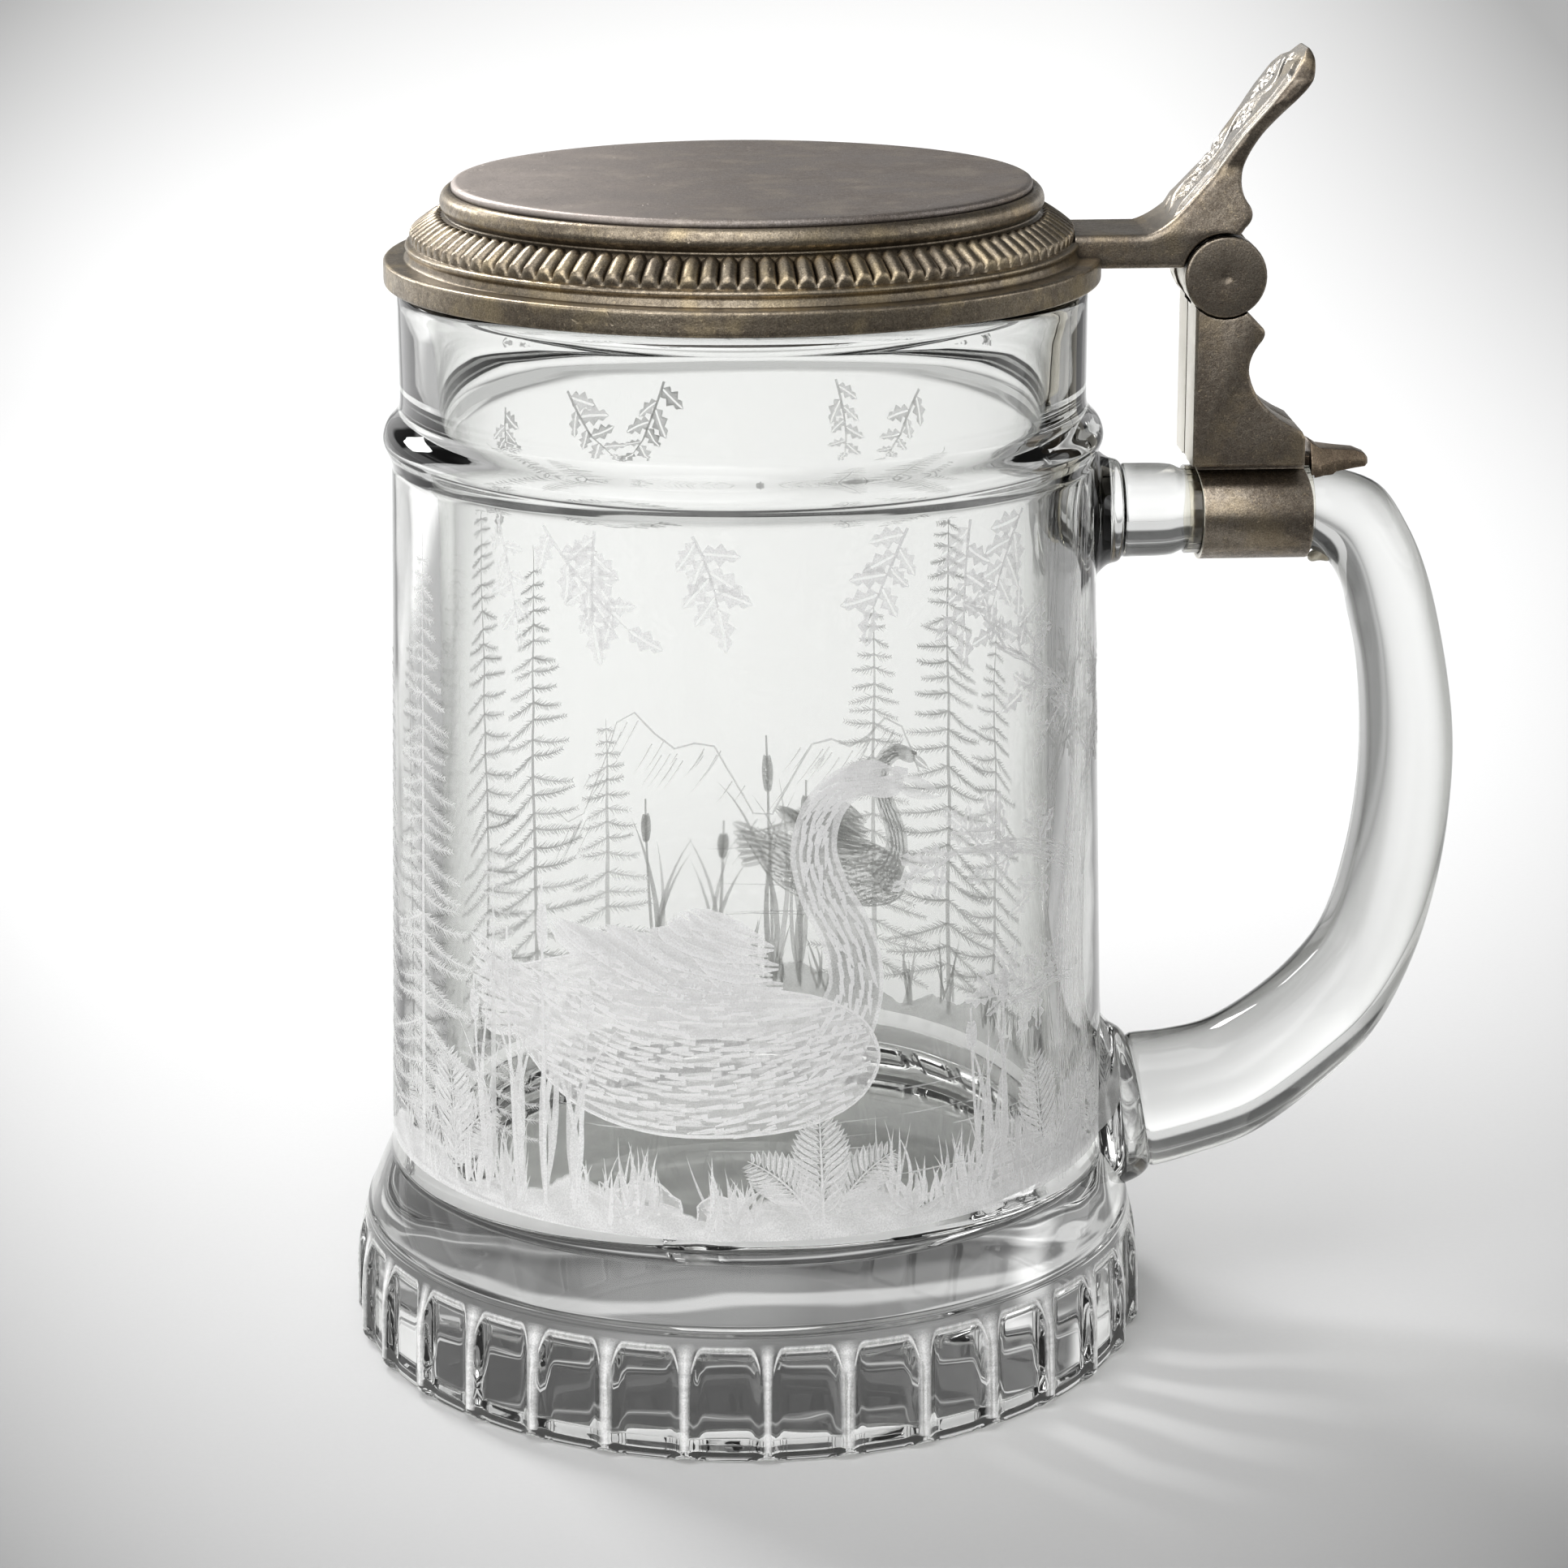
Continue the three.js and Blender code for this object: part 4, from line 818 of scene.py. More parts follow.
    def reed(self, s, z, height, lean, tone):
        """A bulrush: stem, long leaves and a velvety head."""
        vary = self.vary
        stem = self.curve((s, z), 90 + lean, height, -lean * 0.8, 10)
        self.stroke(stem, 0.5, tone, tip=0.6)
        last = stem[-1] - stem[-2]
        for t in np.linspace(0, 1, 26):
            at = stem[-2] + last * (t * 1.35 - 1.2)
            reach = 0.95 * math.sin(math.pi * (0.12 + 0.76 * t)) ** 0.5
            for side in (62, -62):
                angle = heading(last) + side
                self.hair(at, angle, reach, 0, 2, 0.3, tone * vary(0.8, 1.15), tip=0.5)
        for side in (-1, 1, -1, 1):
            start = stem[0] + (0, vary(0, 3))
            angle = 90 + side * vary(6, 16)
            length = height * vary(0.6, 0.95)
            bend = -side * vary(20, 55)
            width = vary(0.7, 1.1)
            self.hair(start, angle, length, bend, 9, width, tone * vary(0.7, 1.0), root=0.5)

    def fern(self, s, z, angle, length, tone, bend):
        spine = self.curve((s, z), angle, length, bend, 16)
        self.stroke(spine, 0.34, tone, tip=0.3)
        for k in range(2, 16):
            size = length * 0.3 * math.sin(math.pi * (k / 17) ** 0.8) + 0.4
            way = heading(spine[k] - spine[k - 1])
            for turn in (1, -1):
                shade = tone * self.vary(0.8, 1.1)
                self.leaf(
                    spine[k], way + turn * 62, size, size * 0.3, shade, 0, -turn * 20, 0.04, 4,
                )

    def twig(self, base, angle, length, leaves, size, tone, bend):
        """A twig of oak: leaves take turns on both sides, and one ends it."""
        vary = self.vary
        stem = self.curve(base, angle, length, bend, 12)
        self.stroke(stem, 0.42, tone, tip=0.35)
        for k in range(leaves):
            t = (k + 1) / leaves
            turn = (1 if k % 2 else -1) * vary(38, 66) * (1 if k < leaves - 1 else 0.1)
            grown = size * vary(0.75, 1.15)
            shade = tone * vary(0.8, 1.12)
            way = angle + bend * t + turn
            at = stem[min(12, int(t * 12))]
            self.leaf(at, way, grown, grown * 0.62, shade, 3, vary(-20, 20), 0.05, 12)

    def needles(self, base, angle, length, size, tone, bend):
        """A conifer's branch: a stem with short needles on both sides."""
        count = max(4, int(length / 0.42))
        stem = self.curve(base, angle, length, bend, count)
        self.stroke(stem[::2] if count > 8 else stem, 0.3, tone, tip=0.4)
        for k in range(1, count + 1):
            way = heading(stem[k] - stem[k - 1])
            reach = size * (1 - 0.55 * (k / count) ** 2) * self.vary(0.75, 1.15)
            for turn in (1, -1):
                side = way + turn * self.vary(34, 58)
                shade = tone * self.vary(0.7, 1.15)
                self.hair(stem[k], side, reach, -turn * 16, 2, 0.2, shade, tip=0.25)

    def fir(self, s, z, height, spread, tone, step, size):
        """A spruce: tiers of drooping branches round a trunk."""
        vary = self.vary
        self.hair((s, z), 90, height, 0, 8, 0.9, tone, tip=0.15)
        level = 0.1 * height
        while level < height * 0.97:
            reach = spread * (1 - level / height) ** 0.85 + 0.8
            for turn in (1, -1):
                droop = vary(14, 30)
                angle = -droop if turn > 0 else 180 + droop
                length = reach * vary(0.8, 1.1)
                shade = tone * vary(0.75, 1.1)
                grown = size * (0.6 + 0.4 * reach / spread)
                self.needles((s, z + level), angle, length, grown, shade, turn * vary(10, 34))
            level += step * vary(0.8, 1.15) * (0.55 + 0.45 * (1 - level / height))

    def trunk(self, path, widths, tone, lines):
        """An old trunk: its bark is a bundle of wavering lines that follow it."""
        vary, rng = self.vary, self.rng
        path = np.asarray(path, float)
        side = normals(path)
        count = len(path)
        widths = np.interp(np.linspace(0, 1, count), np.linspace(0, 1, len(widths)), widths)
        for k in range(lines):
            across = -0.5 + (k + 0.5) / lines
            wave = np.cumsum([vary(-0.05, 0.05) for _ in path])
            at = path + side * ((across + 1.4 * wave / lines) * widths)[:, None]
            first = rng.randrange(0, max(1, count // 3)) if rng.random() < 0.4 else 0
            last = count - (rng.randrange(0, count // 3) if rng.random() < 0.4 else 0)
            if last - first > 3:
                width = widths.mean() / lines * vary(0.55, 0.95)
                shade = tone * (0.55 + 2.2 * across ** 2) * vary(0.8, 1.15)
                self.stroke(at[first:last], width, shade, tip=0.4, root=0.5)
        for _ in range(count * 3):
            k = rng.randrange(1, count - 1)
            at = path[k] + side[k] * widths[k] * vary(-0.45, 0.45)
            angle = heading((side[k][1], -side[k][0])) + vary(-14, 14)
            length = vary(1, 3.4)
            self.hair(at, angle, length, 0, 3, vary(0.15, 0.4), tone * vary(0.6, 1.2), tip=0.2)

    # Water and ground
    def ripples(self, s0, s1, z, count, tone):
        vary = self.vary
        for _ in range(count):
            s = vary(s0, s1)
            length = vary(3, 14)
            path = [(s + length * t, z + vary(-0.05, 0.05)) for t in np.linspace(0, 1, 8)]
            self.stroke(path, vary(0.12, 0.3), tone * vary(0.6, 1.2), tip=0.05, root=0.1)
            z += vary(-1.2, 1.2)

    def bank(self, s0, s1, low, height, tone):
        """Frosted ground along the foot of the picture, with an uneven upper edge."""
        across = np.linspace(s0, s1, int((s1 - s0) / 0.7))
        crest = low + height * (1 + 0.35 * np.sin(across * 0.21) + 0.2 * np.sin(across * 0.53 + 1))
        crest += np.array([self.vary(-0.25, 0.25) for _ in across])
        self.sheet([
            [
                (s, low + (top - low) * up, tone * dim * (1 + 0.12 * math.sin(s * 0.9 + 5 * up)))
                for s, top in zip(across, crest)
            ]
            for up, dim in ((0, 0.95), (0.35, 1.0), (0.7, 0.85), (0.92, 0.95), (1, 0.25))
        ])

    def stone(self, s, z, width, height, tone):
        vary = self.vary
        crest = []
        for a in np.linspace(0, math.pi, 14):
            w = 1 + vary(-0.08, 0.08)
            crest.append((s + width / 2 * math.cos(a) * w, z + height * math.sin(a) ** 0.8 * w))
        self.fill(crest, 0.3, lambda s, z: tone * 0.5)
        self.stroke(crest, 0.4, tone * 1.1, tip=0.5)
        for _ in range(7):
            a = math.radians(vary(25, 155))
            at = (s + width * 0.32 * math.cos(a), z + height * 0.55 * math.sin(a))
            angle = vary(-35, 15)
            self.hair(at, angle, width * vary(0.15, 0.4), -20, 4, 0.22, tone, tip=0.2)

    def swan(self, s, z, size, flip, tone):
        """A swan on the water, seen from its side: size is its body's length in millimetres."""
        vary = self.vary
        bright = min(1, tone * 1.05)

        def put(p):
            return np.array([s + flip * size * p[0], z + size * p[1]])

        def way(angle):
            return angle if flip > 0 else 180 - angle

        def head_tone(a, b):
            return 0.05 if math.dist((a, b), put(SWAN_EYE)) < 0.016 * size else tone * 0.85

        ring = np.array([put(p) for p in SWAN_BODY])
        self.fill(ring, 0.28, lambda a, b: tone * (0.4 + 0.2 * math.sin(2.6 * (b - z) / size + 0.7)))
        self.stroke([put(p) for p in SWAN_NECK], 0.17 * size, tone * 0.72, tip=0.5, root=1.3)
        around = [(math.cos(a), math.sin(a)) for a in np.linspace(0, TAU, 25)[:-1]]
        head = [(0.515 + 0.085 * c - 0.012 * d, 0.785 + 0.056 * d - 0.016 * c) for c, d in around]
        self.fill([put(p) for p in head], 0.14, head_tone)
        self.leaf(put((0.575, 0.775)), way(-24), 0.16 * size, 0.062 * size, 0.55)
        self.stroke([put((0.57, 0.80)), put((0.615, 0.795))], 0.035 * size, 0.95, tip=0.5)
        for k in range(2, len(SWAN_NECK) - 5):
            here = SWAN_NECK[k]
            step = SWAN_NECK[k + 1] - here
            across = np.array([-step[1], step[0]]) / np.linalg.norm(step)
            for side in (-0.6, -0.2, 0.2, 0.6):
                wide = 0.085 - 0.045 * k / len(SWAN_NECK)
                off = (vary(-0.006, 0.006), vary(-0.006, 0.006))
                at = put(here + across * side * wide + off)
                angle = way(heading(step) + 180 + vary(-8, 8))
                bend = vary(-14, 14)
                self.hair(at, angle, size * 0.05, bend, 3, size * 0.012, bright, tip=0.3)
        for x in np.arange(-0.5, 0.5, 0.034):
            for y in np.arange(-0.21, 0.2, 0.03):
                at = (x + vary(-0.014, 0.014), y + vary(-0.01, 0.01))
                if inside(SWAN_BODY, *at) and inside(SWAN_BODY, at[0] - 0.05, at[1] - 0.01):
                    angle = way(180 + 18 * math.sin(4 * at[0]) - 30 * at[1])
                    length = size * vary(0.05, 0.085)
                    bend = flip * vary(-16, 6)
                    self.hair(put(at), angle, length, bend, 3, size * 0.015, bright, tip=0.25)
        for k in range(6):
            length = size * (0.26 - 0.015 * k)
            self.feather(put((-0.5, 0.16 - 0.025 * k)), way(158 + 7 * k), length, size * 0.06, tone)
        for row, (count, length, wide) in enumerate(SWAN_WING):
            for k in range(count):
                t = k / (count - 1)
                x = 0.27 - 0.34 * t - 0.012 * row * (1 - t)
                y = 0.03 + 0.17 * math.sin(0.4 + 2.1 * t) + 0.055 * row * (1 - 0.3 * t)
                angle = way(186 - 34 * t - 3 * row)
                shade = tone * (0.86 + 0.035 * row + 0.06 * (k % 2))
                long = size * length * (1.05 - 0.18 * t)
                self.feather(put((x, y)), angle, long, size * wide, shade, flip * (-14 + 10 * t))
        self.stroke(np.vstack([ring, ring[:1]]), 0.011 * size, min(1, tone * 1.1), tip=1.0)


def draw_front(e):
    """The side towards the camera, and what wraps round its edges."""
    vary = e.vary
    # Spruce at the left, with two smaller ones beside it
    e.fir(-50, 28, 80, 15, 0.78, 3.1, 1.7)
    e.fir(-66, 30, 62, 10, 0.6, 2.8, 1.4)
    e.fir(-35, 34, 38, 8, 0.45, 2.4, 1.1)
    # Old oak at the right: trunk, boughs and roots
    bole = [(50, 27), (48.5, 38), (47, 50), (48, 64), (50.5, 78), (50, 92), (52.5, 112)]
    e.trunk(spline(bole, 5), [15, 10, 8, 7.5, 7, 6.5, 6], 0.72, 18)
    for start, angle, length, bend, wide in (
        ((47.5, 66), 148, 26, 34, 3.4), ((49, 84), 130, 22, 30, 2.6),
        ((51, 74), 40, 18, 34, 2.8), ((47, 52), 165, 14, 30, 1.8),
    ):
        bough = e.curve(start, angle, length, bend, 14)
        e.trunk(bough, [wide, wide * 0.6, wide * 0.25], 0.75, 5)
        for k in range(3, 14, 2):
            way = angle + bend * k / 14 + e.rng.choice((-1, 1)) * vary(30, 70)
            long = vary(4, 7)
            e.twig(bough[k], way, long, 4, vary(3.4, 4.6), vary(0.65, 0.95), vary(-30, 30))
    for angle, length in ((200, 12), (215, 9), (-20, 12), (-35, 8), (232, 7)):
        e.trunk(e.curve((49, 33), angle, length, vary(-20, 20), 8), [3.2, 1.8, 0.8], 0.8, 5)
    # Sprays hanging from the top
    for s, angle, length in (
        (-34, -70, 13), (-27, -52, 16), (-20, -96, 11), (-8, -60, 9), (18, -118, 10), (27, -100, 13),
        (36, -126, 12),
    ):
        e.twig((s, 112.3), angle, length, 8, vary(3.6, 4.8), vary(0.65, 0.9), vary(-25, 25))
    e.swan(-8, 50, 42, 1, 0.97)
    # Pond, banks and plants in front
    for z in (35, 37, 39.5, 42, 45):
        e.ripples(-34, 30, z, 5, 0.5)
    e.bank(-72, 72, 26.9, 4.4, 0.8)
    for s, wide, high in ((-14, 9, 4.2), (-5, 6, 3), (14, 8, 3.6), (34, 12, 5.5), (25, 7, 4)):
        e.stone(s, 29.5, wide, high, 0.75)
    for _ in range(46):
        e.tuft(vary(-74, 74), vary(27.5, 31), vary(5, 12), 7, vary(0.6, 0.95))
    for s, height, lean in (
        (-31, 34, 5), (-27, 41, 1), (-23, 30, -6), (-36, 27, 9), (28, 24, 6), (31, 30, -3),
    ):
        e.reed(s, 29, height, lean, 0.85)
    for s, angle, length, bend in (
        (-44, 70, 15, -40), (-46, 112, 14, 40), (-42, 92, 17, 8), (8, 72, 12, -50), (6, 110, 12, 46),
        (7, 92, 14, 0), (40, 62, 15, -45), (38, 118, 13, 42), (39, 92, 16, 6), (62, 80, 16, -30),
        (59, 110, 14, 36),
    ):
        e.fern(s, 28.5, angle, length, vary(0.75, 0.95), bend)
    for s in (-17, -3, 18, 47):
        for fan in (-64, -32, 0, 32, 64):
            angle = 90 + fan + vary(-6, 6)
            e.leaf((s, 29), angle, vary(4, 7), 2.2, 0.8, 0, vary(-15, 15))


def draw_back(e):
    """The far side, seen through the glass."""
    vary = e.vary
    for s, height, spread, tone in (
        (-36, 74, 14, 0.62), (-22, 56, 11, 0.5), (-48, 60, 12, 0.6), (34, 66, 13, 0.6),
        (47, 78, 13, 0.66), (20, 40, 9, 0.45),
    ):
        e.fir(BACK + s, 29, height, spread, tone, 3.2, 1.5)
    # Far hills
    hills = [62 + 6 * math.sin(k * 0.55) + 3 * math.sin(k * 1.3) for k in range(21)]
    ridge = [(BACK - 30 + 3 * k, z) for k, z in enumerate(hills)]
    e.stroke(ridge, 0.35, 0.4, tip=0.5)
    for _ in range(60):
        s, z = ridge[e.rng.randrange(1, 20)]
        start = (s + vary(-2, 2), z - vary(0.5, 2))
        e.hair(start, -58, vary(2, 7), 10, 3, 0.2, 0.35, tip=0.1)
    e.swan(BACK - 16, 47, 22, -1, 0.62)
    for z in (36, 40, 44, 49):
        e.ripples(BACK - 30, BACK + 20, z, 4, 0.35)
    e.bank(BACK - 66, BACK + 66, 27, 4, 0.55)
    for _ in range(34):
        e.tuft(BACK + vary(-62, 62), vary(28, 31), vary(5, 12), 6, vary(0.5, 0.8))
    for s, height, lean in ((-10, 30, 4), (-6, 36, -2), (12, 28, -5), (3, 24, 6)):
        e.reed(BACK + s, 29, height, lean, 0.65)
    for s, angle, length in (
        (-30, -60, 14), (-16, -110, 11), (10, -70, 12), (26, -120, 13), (40, -80, 10),
    ):
        e.twig((BACK + s, 112), angle, length, 8, vary(3.4, 4.6), vary(0.5, 0.75), vary(-25, 25))
    # Sprays on the neck
    for s, z, angle, length in (
        (-24, 121.5, 24, 20), (-20, 122, 38, 13), (4, 121.2, 30, 17), (22, 122, 150, 15),
        (10, 121.6, 62, 8), (-34, 121.5, 52, 9),
    ):
        e.twig((BACK + s, z), angle, length, 9, vary(2.8, 3.8), vary(0.5, 0.75), vary(-12, 12))
    for _ in range(10):
        e.tuft(BACK + vary(-46, 44), 121.3, vary(2, 4.5), 5, 0.55)


def build_engraving(name, draw, seed):
    """The marks of one picture, wrapped round the wall."""
    e = Engraving(seed)
    draw(e)
    along, z, tones, lift = np.array(e.points).T
    angle = along / WALL_R - math.pi / 2
    radius = np.interp(z, *WALL_CURVE.T) + lift
    add_skin(name, np.column_stack([radius * np.cos(angle), radius * np.sin(angle), z]), tones, e.faces)


# Lid, in millimetres: its profile from the middle of the underside, round the rim, to the top
GADROONS = 112
BEAD_ROW_AT = 41.2, 138.2
BEAD_RELIEF = 0.85
BEAD_SLOPE = 0.626, 0.78
BEAD_FOOT, BEAD_TOP = 0.14, 0.66  # shares of its length where a bead's ends begin
LID_UNDERSIDE = (
    (2, 144.5), (20, 144.5), (32.2, 144.5), (33.8, 144.1), (34.8, 143.1), (36.1, 139.4),
    (36.55, 136.5), (36.6, 133.5), (36.75, 133.05), (37.0, 132.9),
)
LID_LIP = (37.9, 132.9), (38.18, 133.0), (38.3, 133.3), (38.3, 134.6), (38.35, 135.1), (38.55, 135.15)
LID_RIM = (
    (43.2, 135.15), (43.5, 135.22), (43.7, 135.42), (43.75, 135.7), (43.75, 136.7), (43.75, 137.7),
    (43.7, 137.98), (43.48, 138.16), (43.2, 138.2),
)
LID_STEP = (
    (41.5, 138.2), (41.22, 138.24), (41.08, 138.4), (40.9, 138.85), (40.85, 139.15), (41.0, 139.4),
    (41.08, 139.65), (41.0, 139.9), (40.75, 140.05), (40.5, 140.12),
)
LID_CROWN = (
    (36.35, 143.42), (36.2, 143.52), (36.12, 143.72), (36.28, 143.92), (36.6, 144.3), (36.75, 144.8),
    (36.72, 145.3), (36.52, 145.85), (36.15, 146.25), (35.75, 146.4), (35.4, 146.36), (34.8, 146.2),
    (34.0, 146.18), (33.5, 146.18),
)
LID_TOP = (10, 146.18)
DISC_BELOW = (2, 146.19), (20, 146.19), (34.9, 146.19), (35.2, 146.2), (35.3, 146.3)
# Edge of the disc: radius, height and how much it wavers
DISC_EDGE = (
    (35.34, 146.6, 0.03), (35.34, 146.95, 0.03), (35.18, 147.18, 0.03), (34.95, 147.3, 0.03),
    (34.6, 147.34, 0.02),
)
DISC_TOP, DISC_DISH, DISC_WAVER = 147.33, 0.03, 0.012


def bead_row(share):
    """A ring of the row of beads, with round tops. share runs from 0 at their lower ends to 1."""
    inwards, up = 0.85 + 3.75 * share ** 1.05, 2.0 + 3.1 * share ** 0.85
    top = max(1 - max((share - BEAD_TOP) / (1 - BEAD_TOP), 0) ** 2, 0) ** 0.5
    foot = min(1.0, share / BEAD_FOOT) ** 0.6
    half = 0.985 * top * (0.9 + 0.1 * foot)
    height = BEAD_RELIEF * foot * (0.35 + 0.65 * top) * (1.08 - 0.3 * share)

    def at(angles):
        across = np.abs(((angles * GADROONS / TAU) % 1) * 2 - 1)
        if half > 0.02:
            raised = height * np.clip(1 - (across / half) ** 2, 0, 1) ** 0.6
        else:
            raised = 0 * across
        r, z = (start + raised * slope for start, slope in zip(BEAD_ROW_AT, BEAD_SLOPE))
        return r - inwards, z + up

    return at


def build_lid_shell():
    beads = [bead_row(share) for share in np.linspace(0, 1, 26)]
    profile = [
        *LID_UNDERSIDE, *LID_LIP, *spline(LID_RIM, 3), *spline(LID_STEP, 3), *beads,
        *spline(LID_CROWN, 3), LID_TOP,
    ]
    shell = add_object("lid_turned_shell", *loft(turned(profile, GADROONS * 12)), WARM_PEWTER)
    shade_smooth(shell, 40)
    settle(shell, "lid", "warm_pewter", "lid_shell")


def build_lid_disc():
    """The flat disc: turned, very slightly dished and uneven, with a soft worn edge."""
    phases = np.random.default_rng(4).uniform(0, TAU, 5)

    def wavy(r, z, amount):
        def at(angles):
            wave = sum(np.sin((k + 2) * angles + p) for k, p in enumerate(phases)) / len(phases)
            return r + 0.25 * amount * wave, z + amount * wave

        return at

    profile = [*DISC_BELOW, *[wavy(*row) for row in DISC_EDGE]]
    for r in (33, 28, 22, 16, 10, 5, 2):
        dish = DISC_DISH * math.cos(r / 35 * math.pi / 2)
        profile.append(wavy(r, DISC_TOP - dish, DISC_WAVER))
    disc = add_object("lid_disc", *loft(turned(profile, 256)), GREY_PEWTER)
    shade_smooth(disc, 40)
    settle(disc, "lid", "grey_pewter", "lid_top_disc")


# Hinge, in millimetres: lever, clamp bracket, caps, pins, sleeve and spur
HINGE_X, HINGE_Z = 58.5, 135.5
ARM_ROOT = 40.0 - HINGE_X
ARM_BOTTOM, ARM_TOP = 136.65 - HINGE_Z, 140.75 - HINGE_Z
ARM_BEND = -9.8
KNUCKLE_R, KNUCKLE_HALF_WIDTH, KNUCKLE_EDGE = 4.75, 2.6, 0.2
EAR_CLEAR_R = 5.25
EAR_FROM, EAR_TO = math.asin(ARM_BOTTOM / EAR_CLEAR_R), math.radians(72)
LEVER_SOFT_EDGE = 0.85
LEVER_WIDTHS = np.array([
    (0, 7.3), (5.55, 7.3), (8, 6.7), (13.2, 5.45), (17.2, 6.2), (21.2, 8.1), (23.8, 7.9), (26, 5.3),
    (27.2, 2.4),
])
# Curves of the lever's edges, from the hinge: points (x, z), and steps. Each sets off where the
# last one ends
LEVER_FACE = (
    (((-6.4, 6.2), (-4, 9.7), (-1.4, 12.3)), 34), (((1.8, 17.2), (5.2, 21.6), (9.2, 26.2)), 60),
    (((9.6, 26.9), (9.95, 27.12)), 8),
)
LEVER_BACK = (
    (((2.0, 5.5), (2.3, 5.9)), 4), (((3.7, 7.1), (2.9, 8.5)), 10), (((1.5, 10.2), (2, 12.6)), 12),
    (((2.7, 15.5), (4.9, 18.4), (8.8, 22.2)), 40), (((10.2, 23.6), (10.4, 25.2)), 8),
    (((10.6, 26.6), (10.05, 27.1)), 8),
)
RELIEF_BORDER, RELIEF_DEPTH, RELIEF_START, RELIEF_END = 1.15, 0.6, 7.0, 26.2
RELIEF_SHIFT, RELIEF_REPEAT = 14, 10.5
# Height above which the lever's face takes the lighter pewter of the painted reflection
PAINTED_FACE_FROM = 5.6
FACE_POINTS = 61
RESIN_AT = (72.0, -1.2, 99.4)
RESIN_LONG, RESIN_WIDE, RESIN_HIGH = 1.5, 1.3, 0.8


def dress(node, material, bevel=0.0):
    """Gives a CAD piece its material and softly worn edges."""
    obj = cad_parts[node]
    obj.data.materials.clear()
    obj.data.materials.append(material)
    obj.data.shade_smooth()
    if bevel:
        weld = obj.modifiers.new("one_skin", "WELD")
        weld.merge_threshold = 0.000002
        modifier = obj.modifiers.new("worn_edges", "BEVEL")
        modifier.width = bevel * MM
        modifier.segments = 3
        modifier.limit_method = "ANGLE"
        modifier.angle_limit = math.radians(32)
        modifier.harden_normals = True


def chain(path, curves):
    """Adds Bezier curves to a path, each from its last point."""
    for points, steps in curves:
        path += bezier([path[-1], *points], steps)
    return np.array(path)


def lever_outline():
    """Upper and lower edge of arm and lever in the side view, as pairs of (x, z) from the hinge."""
    arm = (((ARM_BEND, ARM_TOP),), 10)
    upper = chain([np.array((ARM_ROOT, ARM_TOP))], [arm, *LEVER_FACE])
    under_arm = (((ARM_BEND, ARM_BOTTOM),), 10)
    to_ear = (((-EAR_CLEAR_R * math.cos(EAR_FROM), ARM_BOTTOM),), 6)
    lower = list(chain([np.array((ARM_ROOT, ARM_BOTTOM))], [under_arm, to_ear]))
    for angle in np.linspace(math.pi - EAR_FROM, EAR_TO, 15)[1:]:
        lower.append(EAR_CLEAR_R * np.array((math.cos(angle), math.sin(angle))))
    return upper, chain(lower, LEVER_BACK)


def lever_relief(run, across, half):
    """Height of the face's ground round a sunk scroll of leaves: 0 on its border and in the
    scroll. run is along the lever, and across goes from -half to half."""
    field = np.clip((half - RELIEF_BORDER - np.abs(across)) / 0.35, 0, 1)
    reach = 0.42 * (half - RELIEF_BORDER)
    sunk = math.exp(-((across - reach * math.sin(run * TAU / RELIEF_REPEAT)) / 0.42) ** 2)
    for turn in range(-1, 4):
        for part, side in ((0.25, -1), (0.75, 1)):
            u = run - (turn + part) * RELIEF_REPEAT
            v = across - side * 0.3 * (half - RELIEF_BORDER)
            gap = math.hypot(u * 0.9, v)
            sunk = max(sunk, math.exp(-((gap - 1.25) / 0.36) ** 2), math.exp(-(gap / 0.5) ** 2))
            for k in range(5):
                way = side * (0.5 + 0.62 * k) + (0 if side > 0 else math.pi)
                along = u * math.cos(way) + v * math.sin(way)
                beside = v * math.cos(way) - u * math.sin(way)
                leaf = math.exp(-((along - 2.3) / 0.75) ** 2 - (beside / 0.34) ** 2)
                sunk = max(sunk, 0.9 * leaf)
    return RELIEF_DEPTH * field * (1 - sunk)


def lever_section(thick):
    """Round a section of the lever: place across it from -1 to 1, depth below its face, and how
    far the point is drawn in from the side (None on the flat face and back)."""
    soft = min(LEVER_SOFT_EDGE, thick * 0.45)
    arc = [(1 - math.cos(t), 1 - math.sin(t)) for t in np.linspace(0, math.pi / 2, 6)[1:-1]]
    side = [(soft * d, soft * i) for d, i in arc]
    side += [(soft + (thick - 2 * soft) * s, 0.0) for s in np.linspace(0, 1, 6)]
    side += [(thick - soft * d, soft * i) for d, i in arc[::-1]]
    points = [(a, 0.0, None) for a in np.linspace(-1, 1, FACE_POINTS)]
    points += [(1, depth, inset) for depth, inset in side]
    points += [(a, thick, None) for a in np.linspace(1, -1, 13)]
    points += [(-1, depth, inset) for depth, inset in side[::-1]]
    return points, soft


def knuckle_rings():
    half, edge = KNUCKLE_HALF_WIDTH, KNUCKLE_EDGE
    profile = (
        (0.3, -half), (KNUCKLE_R - edge, -half), (KNUCKLE_R, edge - half), (KNUCKLE_R, half - edge),
        (KNUCKLE_R - edge, half), (0.3, half),
    )
    around = -np.arange(56) * TAU / 56
    return [
        [(HINGE_X + r * math.cos(a), y, HINGE_Z + r * math.sin(a)) for a in around]
        for r, y in profile
    ]


